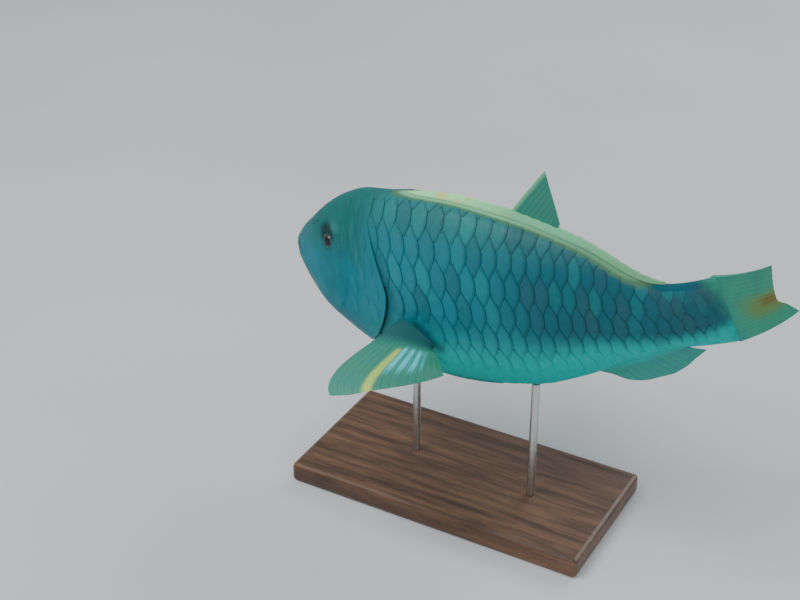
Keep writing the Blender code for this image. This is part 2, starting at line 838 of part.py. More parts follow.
make_head()
make_torso()
make_tail_peduncle()
make_caudal_fin()
make_dorsal_fin()
make_anal_fin()
make_beak("beak_upper", True)
make_beak("beak_lower", False)
for word, way in (("left", 1), ("right", -1)):
    make_eye("eye_" + word, way)
    make_pectoral_fin("pectoral_fin_" + word, way)
    make_pelvic_fin("pelvic_fin_" + word, way)
make_stand()
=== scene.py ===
"""The looks of a life-size parrotfish model in a swimming pose, on a display stand.

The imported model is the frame. One skin takes the place of the head, body and tail solids, and
overlapping scales, webbed fins with rays, glossy eyes and a beak lie on it. Places on the body
are a station, the share of the standard length from the snout tip to the root of the tail
fin, and an angle round the body: 0 at the left side, a quarter turn at the back.
"""

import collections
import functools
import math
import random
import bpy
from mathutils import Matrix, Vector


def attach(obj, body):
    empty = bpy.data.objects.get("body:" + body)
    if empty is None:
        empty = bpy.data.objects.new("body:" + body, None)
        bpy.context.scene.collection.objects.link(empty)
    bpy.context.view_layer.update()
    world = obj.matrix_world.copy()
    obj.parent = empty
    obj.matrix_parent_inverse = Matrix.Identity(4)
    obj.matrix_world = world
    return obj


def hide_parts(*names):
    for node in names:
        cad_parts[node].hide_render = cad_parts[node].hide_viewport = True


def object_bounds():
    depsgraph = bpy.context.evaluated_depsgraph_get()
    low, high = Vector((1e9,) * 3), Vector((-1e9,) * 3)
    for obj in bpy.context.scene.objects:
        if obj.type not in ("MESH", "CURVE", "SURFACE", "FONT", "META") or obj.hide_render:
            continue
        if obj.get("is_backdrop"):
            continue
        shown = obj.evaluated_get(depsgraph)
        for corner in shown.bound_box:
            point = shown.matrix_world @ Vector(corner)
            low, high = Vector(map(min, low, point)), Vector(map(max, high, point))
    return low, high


bl_info = {
    "name": "Parrotfish model",
    "version": (1, 0, 0),
    "blender": (4, 5, 0),
    "location": "View3D > Sidebar > Parrotfish",
    "description": "Skin, scales, fins, eyes and stand finish of a swimming parrotfish model",
    "category": "Mesh",
}

import bmesh
import bpy
from bpy.props import FloatProperty, FloatVectorProperty, IntProperty, PointerProperty
from mathutils import Matrix, Vector

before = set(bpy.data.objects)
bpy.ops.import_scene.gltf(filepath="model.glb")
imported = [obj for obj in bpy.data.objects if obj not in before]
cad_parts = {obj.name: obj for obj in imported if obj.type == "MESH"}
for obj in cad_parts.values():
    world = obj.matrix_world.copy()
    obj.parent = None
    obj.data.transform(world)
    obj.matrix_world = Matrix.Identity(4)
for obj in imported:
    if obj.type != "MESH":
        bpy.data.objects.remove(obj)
CAD_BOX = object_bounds()

# The standard length in metres, how far the snout points down, and the station of the body's
# middle and its height over the floor in metres
STANDARD_LENGTH = 0.35
NOSE_DOWN = math.radians(7.7)
MIDDLE_STATION, MIDDLE_HEIGHT = 0.45, 0.168

# The body's other sizes, in shares of the standard length. They are the part's own, but for the
# eye, which sits a little further back, and the chin, which is a little slimmer, as in the photo.
GILL_SIDE, GILL_TOP, GILL_THROAT = 0.315, 0.235, 0.20
TAIL_END_TOP, TAIL_END_BELLY = 0.955, 1.0
EYE_STATION, EYE_HEIGHT = 0.145, 0.071
BEAK_CENTRE = (0.016, 0.0125)
BEAK_RADII = (0.027, 0.0145, 0.016)
MOUTH_TILT = math.radians(-8)
MOUTH_CORNER, MOUTH_SWEEP = 0.034, 0.007
LIP_STATION, LIP_RADIUS, LIP_THICKNESS = 0.0035, 0.0165, 0.0072
ORBIT_RADIUS, ORBIT_THICKNESS = 0.0195, 0.0034
NOSTRILS, NOSTRIL_RING = ((0.083, 0.088), (0.094, 0.096)), (0.0026, 0.0009)
PECTORAL_ROOTS = ((0.338, -0.05), (0.372, -0.072), (0.405, -0.1))

# The sign and the word of each side of the fish
SIDES = ((1, "left"), (-1, "right"))

# How far the skin stands out of the body's form or lies under it, in metres
GILL_PROUD, GILL_TUCKED, GILL_HOLLOW = 0.001, 0.0009, 0.0006
CHEEK_PROUD, BROW_PROUD = 0.0008, 0.0007
MOUTH_GROOVE, TAIL_DRAWN_IN = 0.0012, 0.0027
SCALE_BED, ORBIT_SUNK = 0.0005, 0.0007

# How far a scale's rear and front edge stand out of the skin, and its thickness
SCALE_REAR, SCALE_FRONT, SCALE_THICKNESS = 0.0005, -0.0001, 0.0004
# How much lower the front of a faint scale lies, and how deep tips at the midline are sunk
FAINT_SUNK, TIP_SUNK = 0.0003, 0.0009

# How far the pale ridge along the back reaches to each side, in shares of the standard length
RIDGE_WIDTH = 0.024
# Places on the side, as station and height over the spine: the middle of the painted shadow over
# the eye, the brow with its bump and painted highlight, the fold behind the breast fin, which gets
# painted shade, and the bare notch ahead of it
EYE_SHADOW = (0.139, 0.087)
BROW = (0.168, 0.104)
AXIL = ((0.377, -0.054), (0.42, -0.1))
GILL_NOTCH = ((0.312, -0.02), (0.295, -0.12))

# The photograph's camera: how far it is turned and raised about the body's middle, its offset in
# shares of the standard length, and its lens and sensor in millimetres
CAMERA_AZIMUTH = math.radians(29.37)
CAMERA_HEIGHT = math.radians(30.73)
CAMERA_OFFSET = (0.1365, 0.0195, 3.1)
LENS, SENSOR = 70.81, 36.0


def smooth_curve(*knots):
    """A function through the (place, value) knots that never overshoots them."""
    places = [place for place, _ in knots]
    values = [value for _, value in knots]
    slopes = [
        (values[i + 1] - values[i]) / (places[i + 1] - places[i]) for i in range(len(knots) - 1)
    ]
    tangents = [slopes[0]]
    for before, after in zip(slopes, slopes[1:]):
        tangents.append(0 if before * after <= 0 else 2 * before * after / (before + after))
    tangents.append(slopes[-1])

    @functools.lru_cache(maxsize=None)
    def value(at):
        at = min(max(at, places[0]), places[-1])
        i = max(j for j in range(len(places) - 1) if places[j] <= at)
        span = places[i + 1] - places[i]
        x = (at - places[i]) / span
        rise = values[i + 1] - values[i]
        start, end = tangents[i] * span, tangents[i + 1] * span
        square, cube = 3 * rise - 2 * start - end, start + end - 2 * rise
        return values[i] + x * start + x * x * square + x**3 * cube

    return value


# How far the way to the tail turns towards the left flank, in degrees: the tail sweeps right
BEND = smooth_curve(
    (0, 7.8), (0.15, 12.9), (0.3, 10.6), (0.45, 4.5), (0.6, 2.5), (0.75, 2.4), (0.88, -25.9),
    (1, -50.5),
)
# The height of the back over the spine, the belly's depth under it and half the width
BACK = smooth_curve(
    (0, 0.037), (0.02, 0.0604), (0.05, 0.0867), (0.1, 0.127), (0.15, 0.156), (0.2, 0.1735),
    (0.24, 0.178), (0.32, 0.1895), (0.41, 0.1923), (0.55, 0.177), (0.7, 0.14), (0.88, 0.0742),
    (1, 0.0823),
)
BELLY = smooth_curve(
    (0, 0.0113), (0.02, 0.04), (0.05, 0.076), (0.1, 0.117), (0.2, 0.1549), (0.32, 0.1813),
    (0.45, 0.192), (0.6, 0.1755), (0.7, 0.1394), (0.8, 0.087), (0.88, 0.0634), (1, 0.0791),
)
HALF_WIDTH = smooth_curve(
    (0, 0.016), (0.02, 0.028), (0.05, 0.043), (0.1, 0.06), (0.2, 0.078), (0.35, 0.088),
    (0.5, 0.082), (0.6, 0.071), (0.8, 0.038), (0.9, 0.024), (1, 0.013),
)
# The section is a rounded form: an ellipse would have 1 for each of these
SIDE_POWER, BACK_POWER, BELLY_POWER = 0.9, 0.95, 0.85


@functools.lru_cache(maxsize=None)
def tailward(station):
    """The unit vector along the body towards the tail."""
    turn = math.radians(BEND(station))
    flat = math.cos(NOSE_DOWN)
    return Vector((math.cos(turn) * flat, -math.sin(turn) * flat, math.sin(NOSE_DOWN)))


@functools.lru_cache(maxsize=None)
def leftward(station):
    """The unit vector out of the left flank."""
    turn = math.radians(BEND(station))
    return Vector((-math.sin(turn), -math.cos(turn), 0))


@functools.lru_cache(maxsize=None)
def upward(station):
    return leftward(station).cross(tailward(station))


def spine_path(steps=200):
    """Points along the middle of the body, from the snout tip to the root of the tail fin."""
    points = [Vector((0, 0, 0))]
    for i in range(steps):
        points.append(points[-1] + tailward((i + 0.5) / steps) * STANDARD_LENGTH / steps)
    middle = points[round(MIDDLE_STATION * steps)]
    lift = Vector((0, 0, MIDDLE_HEIGHT))
    return [point - middle + lift for point in points]


SPINE = spine_path()


@functools.lru_cache(maxsize=None)
def spine(station):
    last = len(SPINE) - 1
    if station >= 1:
        return SPINE[last] + tailward(1) * (station - 1) * STANDARD_LENGTH
    if station <= 0:
        return SPINE[0] + tailward(0) * station * STANDARD_LENGTH
    i = min(int(station * last), last - 1)
    return SPINE[i].lerp(SPINE[i + 1], station * last - i)


def from_spine(station, left, up):
    """The point this far to the left of and above the spine, in shares of the standard length."""
    side = leftward(station) * left + upward(station) * up
    return spine(station) + side * STANDARD_LENGTH


def height_at(station, angle, extra=0.0):
    """The height over the spine of the body's form at this angle."""
    rise = math.sin(angle)
    if rise > 0:
        return (BACK(station) + extra) * rise**BACK_POWER
    return -(BELLY(station) + extra) * (-rise) ** BELLY_POWER


def body_point(station, angle, proud=0.0, fill=1.0):
    """A point of the body's form, or inside it where fill is below 1, proud in metres."""
    extra, aside = proud / STANDARD_LENGTH, math.cos(angle)
    left = (HALF_WIDTH(station) + extra) * math.copysign(abs(aside) ** SIDE_POWER, aside)
    return from_spine(station, left * fill, height_at(station, angle, extra) * fill)


def flank_normal(station, angle):
    """The direction straight out of the body's form, on its left flank."""
    step = 0.002
    along = body_point(station + step, angle) - body_point(station - step, angle)
    around = body_point(station, angle + step) - body_point(station, angle - step)
    normal = along.cross(around).normalized()
    return normal if normal.dot(leftward(station)) > 0 else -normal


def angle_at_height(station, up):
    """The angle round the body of the point of the left flank at this height over the spine."""
    if up > 0:
        return math.asin(min(1, (up / BACK(station)) ** (1 / BACK_POWER)))
    return -math.asin(min(1, (-up / BELLY(station)) ** (1 / BELLY_POWER)))


def on_side(station, height, side):
    """A point of the skin and the direction out of it, on the left or the right side."""
    angle = angle_at_height(station, height)
    point, normal = body_point(station, angle), flank_normal(station, angle)
    if side < 0:
        left = leftward(station)
        normal = normal - left * 2 * normal.dot(left)
        point = mirrored(point, station)
    return point, normal


def mirrored(point, station):
    """The same point on the other side of the body."""
    left = leftward(station)
    return point - left * 2 * (point - spine(station)).dot(left)


def ease(value, low, high):
    """0 below low, 1 above high, and smoothly between."""
    x = min(1, max(0, (value - low) / (high - low)))
    return x * x * (3 - 2 * x)


def mouth_height(station):
    """The height of the line of the mouth, which slants down towards its corners."""
    return BEAK_CENTRE[1] + (station - BEAK_CENTRE[0]) * math.tan(MOUTH_TILT)


def mouth_sweep(angle):
    """How far back the lips lie at this angle round the mouth, furthest at its corners."""
    return MOUTH_SWEEP * math.cos(angle) ** 2


def hill(station, height, place, reach):
    """1 at a place on the side of the body, falling smoothly to 0 well past its reach."""
    return math.exp(-((station - place[0]) ** 2 + (height - place[1]) ** 2) / reach**2)


def from_line(station, height, ends):
    """The distance to the line between two places on the side of the body."""
    start, end = (Vector(place) for place in ends)
    to, way = Vector((station, height)) - start, end - start
    share = min(1, max(0, to.dot(way) / way.length_squared))
    return (to - way * share).length


GIRTH_STEPS = 24


@functools.lru_cache(maxsize=None)
def girth(station, way):
    """Lengths along the skin from the side's middle to the back, or the belly for a way of -1."""
    lengths, last = [0], body_point(station, 0)
    for i in range(1, GIRTH_STEPS + 1):
        point = body_point(station, way * math.pi / 2 * i / GIRTH_STEPS)
        lengths.append(lengths[-1] + (point - last).length / STANDARD_LENGTH)
        last = point
    return lengths


def girth_towards(station, distance):
    """The same lengths by the sign of a distance above the side's middle."""
    return girth(round(station, 3), 1 if distance > 0 else -1)


def angle_at_girth(station, distance):
    """The angle that lies this far along the skin above the side's middle, or below it."""
    lengths, far = girth_towards(station, distance), abs(distance)
    i = max(j for j in range(GIRTH_STEPS) if lengths[j] <= far)
    share = (far - lengths[i]) / (lengths[i + 1] - lengths[i])
    return math.copysign(math.pi / 2 * (i + share) / GIRTH_STEPS, distance)


def gill_station(angle):
    """The station of the gill cover's free edge at this angle."""
    rise = math.sin(angle)
    if rise > 0:
        return GILL_SIDE + (GILL_TOP - GILL_SIDE) * rise**1.2
    return GILL_SIDE + (GILL_THROAT - GILL_SIDE) * (-rise) ** 1.5


def gill_free(angle):
    """How free the edge of the gill cover is: 1 down the side, and 0 at the nape."""
    return 1 - ease(math.sin(angle), 0.45, 0.8)


def tail_end(angle):
    """The station of the slanting edge between the scales and the tail fin."""
    middle = (TAIL_END_TOP + TAIL_END_BELLY) / 2
    return middle + (TAIL_END_TOP - TAIL_END_BELLY) / 2 * math.sin(angle)


def tail_taper(station, angle):
    """How far the body's sides draw in where it thins into the tail fin, in metres."""
    end = tail_end(angle)
    return -TAIL_DRAWN_IN * math.cos(angle) ** 2 * ease(station, end - 0.05, end)


def from_breast_fin(station, height):
    """The distance to the root of the breast fin, the fold behind it or the notch ahead of it."""
    lines = AXIL, GILL_NOTCH, (PECTORAL_ROOTS[0], PECTORAL_ROOTS[-1])
    return min(from_line(station, height, line) for line in lines)


def along_edge(points):
    """A function of 0 to 1 through these points, smoothly, by each of their parts."""
    last = len(points) - 1
    parts_of = [
        smooth_curve(*[(i / last, point[part]) for i, point in enumerate(points)])
        for part in range(len(points[0]))
    ]
    return lambda share: [part(share) for part in parts_of]


# Meshes


def mesh_of(name, bm):
    """Makes the bmesh a mesh and frees it."""
    mesh = bpy.data.meshes.new(name)
    bm.to_mesh(mesh)
    bm.free()
    return mesh


def finished(name, bm, material, replaced=(), sharp=60):
    """Makes the bmesh a smooth piece that rides on the model, standing for the replaced nodes."""
    mesh = mesh_of(name, bm)
    mesh.shade_smooth()
    mesh.set_sharp_from_angle(angle=math.radians(sharp))
    mesh.materials.append(material)
    piece = bpy.data.objects.new(name, mesh)
    bpy.context.scene.collection.objects.link(piece)
    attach(piece, "root")
    if replaced:
        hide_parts(*replaced)


def face_outwards(bm):
    """Turns the faces of a closed mesh outwards."""
    bmesh.ops.recalc_face_normals(bm, faces=bm.faces)
    if bm.calc_volume(signed=True) < 0:
        bmesh.ops.reverse_faces(bm, faces=bm.faces)


def grid_of(columns, rows):
    """A flat grid whose points run from 0 to 1 both ways, to be laid over a form."""
    bm = bmesh.new()
    bmesh.ops.create_grid(bm, x_segments=columns, y_segments=rows, size=1)
    for vert in bm.verts:
        vert.co = Vector(((vert.co.x + 1) / 2, (vert.co.y + 1) / 2, 0))
    return bm


# Materials


class Wire:
    """A socket of a material that takes part in sums, so that shader maths reads as Python."""

    def __init__(self, tree, socket):
        self.tree, self.socket = tree, socket

    def maths(self, operation, *others):
        return self.tree.node("Math", {"operation": operation}, [self, *others])

    def __add__(self, other):
        return self.maths("ADD", other)

    def __sub__(self, other):
        return self.maths("SUBTRACT", other)

    def __mul__(self, other):
        return self.maths("MULTIPLY", other)

    def __truediv__(self, other):
        return self.maths("DIVIDE", other)

    def __pow__(self, other):
        return self.maths("POWER", other)

    def __rsub__(self, other):
        return self.tree.node("Math", {"operation": "SUBTRACT"}, [other, self])

    __radd__ = __add__
    __rmul__ = __mul__

    def ramp(self, low, high, start=0.0, end=1.0):
        """Goes smoothly from start to end as the wire goes from low to high."""
        settings = {"interpolation_type": "SMOOTHSTEP"}
        return self.tree.node("MapRange", settings, [self, low, high, start, end])

    def band(self, low, full, fading, high):
        """Goes up from 0 at low to 1 at full, and down again from fading to high."""
        return self.ramp(low, full) * self.ramp(high, fading)


class Tree:
    """The nodes of one material."""

    def __init__(self, name):
        self.material = bpy.data.materials.new(name)
        self.material.use_nodes = True
        self.nodes = self.material.node_tree.nodes
        self.shader = self.nodes["Principled BSDF"]

    def node(self, kind, settings=None, values=(), output=0):
        """Adds a node: its settings first, then the values or wires of its sockets."""
        node = self.nodes.new("ShaderNode" + kind)
        for setting, value in (settings or {}).items():
            setattr(node, setting, value)
        pairs = values.items() if isinstance(values, dict) else enumerate(values)
        for socket, value in pairs:
            self.feed(node.inputs[socket], value)
        return Wire(self, node.outputs[output])

    def feed(self, socket, value):
        if isinstance(value, Wire):
            self.material.node_tree.links.new(value.socket, socket)
        elif socket.type == "RGBA":
            socket.default_value = (*value, 1)
        else:
            socket.default_value = value

    def set(self, **values):
        """Sets sockets of the shader, named with _ for a space, and gives the material."""
        for name, value in values.items():
            self.feed(self.shader.inputs[name.replace("_", " ")], value)
        return self.material

    def attribute(self, name):
        return self.node("Attribute", {"attribute_name": name}, output="Fac")

    def place(self):
        return self.node("TexCoord", output="Object")

    def noise(self, scale, detail=2.0, roughness=0.5, stretch=None):
        place = self.place()
        if stretch:
            place = self.node("Mapping", values={"Vector": place, "Scale": stretch})
        values = {"Vector": place, "Scale": scale, "Detail": detail, "Roughness": roughness}
        return self.node("TexNoise", values=values, output="Fac")

    def over(self, colour, *layers):
        """Lays layers, each a share and a colour, over a colour in turn."""
        for share, tint in layers:
            values = {0: share, 6: colour, 7: tint}
            colour = self.node("Mix", {"data_type": "RGBA"}, values, output=2)
        return colour

    def bump(self, height, distance, strength):
        values = {"Height": height, "Distance": distance, "Strength": strength}
        return self.node("Bump", values=values)


def colour_property(name, description, colour):
    return FloatVectorProperty(
        name=name, description=description, subtype="COLOR", size=3, min=0, max=1, default=colour
    )


class FishColours(bpy.types.PropertyGroup):
    """The colours of the fish."""

    flank: colour_property("Flank", "Scales of the flank's front", (0.012, 0.2, 0.26))
    rear: colour_property("Rear flank", "Scales of the flank's rear", (0.009, 0.105, 0.137))
    slate: colour_property("Slate", "The greyest scales of the flank", (0.022, 0.085, 0.105))
    # Also paints the mottles and streaks, the painted shade in folds, and the scales' dark edges,
    # which are partly painted shade
    outline: colour_property("Outline", "Dark edges of the scales", (0.004, 0.05, 0.068))
    belly: colour_property("Belly", "Skin of the belly", (0.001, 0.4, 0.36))
    back: colour_property("Back", "Scales along the back", (0.025, 0.19, 0.185))
    ridge: colour_property("Ridge", "Scaly ridge along the back fin", (0.24, 0.58, 0.33))
    brow: colour_property("Brow", "Top of the head", (0.01, 0.15, 0.145))
    chin: colour_property("Chin", "Cheek and chin", (0.0, 0.19, 0.245))
    fin: colour_property("Fin", "Webs of the fins", (0.035, 0.31, 0.19))
    edge: colour_property("Fin edge", "Bright edge of the back fin", (0.38, 0.95, 0.45))
    olive: colour_property("Olive", "Lower edge of the back fin", (0.11, 0.22, 0.07))
    patch: colour_property("Tail patch", "Orange-brown end of the tail fin", (0.17, 0.135, 0.03))


class FishSizes(bpy.types.PropertyGroup):
    """Counts and sizes of the scales and rays."""

    scale_pitch: FloatProperty(
        name="Scale pitch", description="Length of a scale's cell, as a share of the fish",
        default=0.03, min=0.02, max=0.06, subtype="FACTOR",
    )
    row_width: FloatProperty(
        name="Row width", description="Spacing of the rows of scales, as a share of the fish",
        default=0.057, min=0.03, max=0.1, subtype="FACTOR",
    )
    ring_count: IntProperty(
        name="Rings", description="Rings of the skin's mesh, 100 of them on the head",
        default=190, min=130, max=400,
    )


def colours():
    return bpy.context.scene.fish_colours


def sizes():
    return bpy.context.scene.fish_sizes


# Colours of single features, beside those of the panel, and of the stand and the stage
# Of these, the shadow blue is painted shadow, the brow's green a painted highlight, and the orange
# dapples and the yellow and blue streaks are painted sunlight glints
SHADOW_BLUE, BROW_HIGHLIGHT_GREEN, LIP_BLUE = (0.0, 0.02, 0.025), (0.05, 0.26, 0.22), (0.025, 0.15, 0.16)
WEB_BLUE, PANEL_GREEN, TAIL_OLIVE = (0.03, 0.25, 0.28), (0.03, 0.22, 0.155), (0.15, 0.24, 0.06)
SUN_DAPPLE_ORANGE, RAY_CREAM, BAND_GREEN = (0.8, 0.62, 0.2), (0.62, 0.8, 0.5), (0.12, 0.45, 0.27)
BREAST_GREEN, BREAST_BLUE, FLESH_BLUE = (0.05, 0.3, 0.2), (0.03, 0.28, 0.27), (0.02, 0.12, 0.125)
GLINT_YELLOW, GLINT_BLUE = (0.62, 0.85, 0.16), (0.12, 0.86, 0.95)
IRIS_BROWN, IRIS_BLUE, IRIS_RIM = (0.04, 0.04, 0.03), (0.01, 0.035, 0.04), (0.003, 0.04, 0.05)
PUPIL_RING, PUPIL_BLACK = (0.07, 0.08, 0.065), (0.003, 0.014, 0.018)
BEAK_PALE, BEAK_BLUE = (0.12, 0.24, 0.22), (0.04, 0.15, 0.16)
WALNUT_DARK, WALNUT_PALE = (0.05, 0.025, 0.014), (0.17, 0.085, 0.045)
WALNUT_PORE, STEEL_GREY = (0.02, 0.01, 0.006), (0.62, 0.62, 0.61)
FLOOR_GREY, FLOOR_PALE, ROOM_BLUE = (0.62, 0.64, 0.65), (0.66, 0.67, 0.68), (0.8, 0.85, 0.9)


def blend_marks(tree, colour):
    """Lays over a colour what skin and scales share: painted eye shadow and brow highlight, lips,
    tail, ridge, and painted shade in folds.
    """
    told, station, height = colours(), tree.attribute("station"), tree.attribute("height")
    # A painted shadow over the eye and a painted highlight on the brow, each fading with distance
    for place, reach, share, tint in (
        (EYE_SHADOW, 0.027, 0.85, SHADOW_BLUE), (BROW, 0.015, 0.4, BROW_HIGHLIGHT_GREEN),
    ):
        far = (((station - place[0]) * 0.75) ** 2 + (height - place[1]) ** 2) ** 0.5
        colour = tree.over(colour, (far.ramp(reach, reach * 0.35, 0, share), tint))
    slate = station.band(0.9, 0.93, 0.965, 0.98) * height.ramp(0.01, 0.05)
    past = station + height * 0.55
    ridge = tree.attribute("ridge") * station.band(0.26, 0.36, 0.78, 0.86)
    return tree.over(
        colour,
        (station.ramp(0.04, 0.0, 0, 0.6), LIP_BLUE),
        (slate * 0.6, told.slate),
        (past.ramp(0.955, 0.995, 0, 0.75), told.fin),
        (ridge.ramp(0.02, 0.2, 0, 0.6), told.olive),
        (ridge.ramp(0.2, 0.5, 0, 0.9) * station.ramp(0.5, 0.75, 1, 0.4), told.ridge),
        # Painted shade behind the gill cover, in the fold behind the breast fin, round rims and in
        # nostrils
        (tree.attribute("painted_shade") * 0.85, told.outline),
    )


def depth_share(tree):
    """The height over the spine as a share of the belly's depth below it, -1 at the belly."""
    return tree.attribute("height") / tree.attribute("station").ramp(0.5, 0.88, 0.19, 0.065)


def body_colour(tree):
    """The main colours of skin and scales, by station and height over the spine."""
    station, height, told = tree.attribute("station"), tree.attribute("height"), colours()
    wide = tree.noise(14, 3) - 0.5
    cloudy_height = height + wide * 0.05
    flank = tree.over(
        told.flank,
        ((station + wide * 0.1).ramp(0.42, 0.72), told.rear),
        ((depth_share(tree) + wide * 0.3).ramp(-0.1, -0.7), told.belly),
        (cloudy_height.ramp(0.08, 0.17) * 0.8, told.back),
    )
    head = tree.over(told.chin, (cloudy_height.ramp(0.01, 0.09), told.brow))
    return tree.over(head, ((station + wide * 0.04).ramp(0.2, 0.32), flank))


def skin_material():
    tree, told = Tree("skin"), colours()
    cloudy, streaks = tree.noise(60, 4, 0.6), tree.noise(110, 3, 0.55, (1.6, 1.6, 0.35))
    colour = tree.over(
        body_colour(tree),
        (cloudy.ramp(0.35, 0.75, 0, 0.22), told.outline),
        (streaks.ramp(0.5, 0.72, 0, 0.3), told.slate),
    )
    return tree.set(
        Base_Color=blend_marks(tree, colour), Roughness=cloudy.ramp(0.3, 0.7, 0.42, 0.54),
        Normal=tree.bump(tree.noise(900, 2), 0.0001, 0.25), Specular_IOR_Level=0.14,
    )


def scale_material():
    tree, told = Tree("scales"), colours()
    names = ("rim", "tone", "boldness", "station", "height", "ridge")
    rim, tone, bold, station, height, ridge = (tree.attribute(name) for name in names)
    streaks = tree.noise(260, 3, 0.6)
    grey = tone.ramp(0.45, 0.1) * height.ramp(-0.08, 0.0) * bold
    clear = depth_share(tree).ramp(-0.85, -0.3) * ridge.ramp(0.2, 0.0)
    # The dark rear edge of each scale: partly its own dark margin, partly painted shade at its step
    dark = rim.ramp(0.26, 0.03) * bold * clear * station.ramp(0.4, 0.6, 0.38, 0.55)
    colour = tree.over(
        body_colour(tree),
        (grey * 0.45, told.slate),
        (tone.ramp(0.7, 1.0, 0, 0.16) * bold, told.belly),
        (streaks.ramp(0.4, 0.8, 0, 0.18), told.outline),
        (dark, told.outline),
    )
    return tree.set(
        Base_Color=blend_marks(tree, colour), Roughness=streaks.ramp(0.3, 0.7, 0.46, 0.58),
        Normal=tree.bump(tree.attribute("growth"), 0.00015, 0.25), Specular_IOR_Level=0.22,
    )


def ray_tree(name):
    """A tree for a web, with its ray, out and across wires and a cloudy one."""
    tree = Tree(name)
    return tree, *(tree.attribute(word) for word in ("ray", "out", "across")), tree.noise(80, 3)


def web_of(tree, colour, cloudy, see_through=0.0):
    """Gives a web its colour and a satin gloss, and lets it be this see-through."""
    return tree.set(
        Base_Color=colour, Roughness=cloudy.ramp(0.3, 0.7, 0.4, 0.55), Alpha=1 - see_through,
        Specular_IOR_Level=0.22,
    )


def fin_material():
    """A thin web between rays: ray is 1 on a ray, out goes from root to tip."""
    tree, ray, out, _, cloudy = ray_tree("fin_web")
    told = colours()
    colour = tree.over(
        told.fin,
        (cloudy.ramp(0.3, 0.8, 0.4, 0.8), WEB_BLUE),
        (out.ramp(0.35, 0.0, 0, 0.8), told.belly),
        (ray * 0.04, told.edge),
    )
    return web_of(tree, colour, cloudy, (1 - ray) * out.ramp(0.1, 0.5) * 0.1)


def panel_material():
    """The raised panel of the back fin, pale along its leading ray."""
    tree, ray, out, across, cloudy = ray_tree("panel_web")
    told = colours()
    colour = tree.over(
        PANEL_GREEN,
        (cloudy.ramp(0.3, 0.8, 0, 0.4), told.back),
        (across.ramp(0.12, 0.02, 0, 0.4), told.edge),
        (ray * 0.06, told.edge),
    )
    return web_of(tree, colour, cloudy, (1 - ray) * out.ramp(0.1, 0.5) * 0.1)


# The skin


# Rings of the skin's mesh from the mouth to the gill cover's edge, and its lines along the body
HEAD_RINGS, SKIN_LINES = 100, 200
# Each ring that rolls in round the beak: its radius, station and share out to the snout's edge
MOUTH_RINGS = ((0.0, 0.02, 0.0), (0.0125, 0.006, 0.0), (0.0125, -0.003, 0.45))


def shade_in_folds(station, angle):
    """How much painted shade lies here, from 0 to 1: behind the gill cover and behind the breast
    fin.
    """
    height = height_at(station, angle)
    behind = station - gill_station(angle)
    gill = ease(behind, -0.004, 0.001) * (1 - ease(behind, 0.003, 0.03))
    gill *= gill_free(angle) * (1 - 0.6 * ease(height, 0, 0.09))
    return max(gill * 0.7, 0.9 - 0.9 * ease(from_line(station, height, AXIL), 0.0, 0.02))


def cheek_lift(station, angle):
    """The cheek's fullness in front of its rounded rear edge, and the brow over the eye."""
    share = station / gill_station(angle)
    edge = 0.64 + 0.13 * math.sin(angle)
    full = ease(share, edge - 0.4, edge) * (1 - ease(share, edge, edge + 0.035))
    brow = hill(station, height_at(station, angle), BROW, 0.016)
    return CHEEK_PROUD * full * (1 - ease(abs(math.sin(angle)), 0.6, 0.9)) + BROW_PROUD * brow


def skin_lift(station, angle):
    """How far the skin stands out of the body's plain form, in metres."""
    edge = gill_station(angle)
    if station > edge:
        under_flap = -GILL_HOLLOW * (1 - ease(station - edge, 0, 0.03)) * gill_free(angle)
        bed = ease(station - edge, 0, 0.02) * (1 - ease(station, tail_end(angle) - 0.03, 1))
        bed *= ease(from_breast_fin(station, height_at(station, angle)), 0.012, 0.03)
        return under_flap - SCALE_BED * bed + tail_taper(station, angle)
    flap = GILL_PROUD * gill_free(angle) * max(0, station / edge * 4 - 3) ** 0.7
    from_mouth = (height_at(station, angle) - mouth_height(station)) / 0.0024
    groove = math.exp(-(from_mouth**2)) * (1 - ease(station, 0.028, MOUTH_CORNER + 0.002))
    return flap + cheek_lift(station, angle) - MOUTH_GROOVE * groove


MARKS = ("station", "height", "ridge", "painted_shade")


def mark_layers(bm, *more):
    return {name: bm.verts.layers.float.new(name) for name in (*MARKS, *more)}


def mark(vert, layers, station, painted_shade=0.0):
    """Keeps a point's place on the body and its painted shade, which the markings of skin and
    scales read.
    """
    from_middle = (vert.co - spine(station)) / STANDARD_LENGTH
    height, aside = from_middle.dot(upward(station)), from_middle.dot(leftward(station))
    vert[layers["station"]], vert[layers["height"]] = station, height
    vert[layers["ridge"]] = max(0, 1 - abs(aside) / RIDGE_WIDTH) if height > 0 else 0
    vert[layers["painted_shade"]] = painted_shade


class FISH_OT_skin(bpy.types.Operator):
    """One skin over the head, body and tail, with its gill covers and cheeks"""

    bl_idname = "fish.skin"
    bl_label = "Skin"

    def execute(self, context):
        columns = len(MOUTH_RINGS) + sizes().ring_count + 2
        bm = grid_of(columns, SKIN_LINES)
        layers = mark_layers(bm)
        for vert in bm.verts:
            # The lines lie closer together down the middle of each side
            angle = math.tau * vert.co.y - math.pi / 2
            angle -= 0.12 * math.sin(2 * angle)
            vert.co, station, painted_shade = skin_vertex(round(vert.co.x * columns), angle, columns)
            mark(vert, layers, station, painted_shade)
        bmesh.ops.remove_doubles(bm, verts=bm.verts, dist=1e-6)
        face_outwards(bm)
        replaced = ("head", "torso", "tail_peduncle")
        finished("skin", bm, skin_material(), replaced)
        return {"FINISHED"}


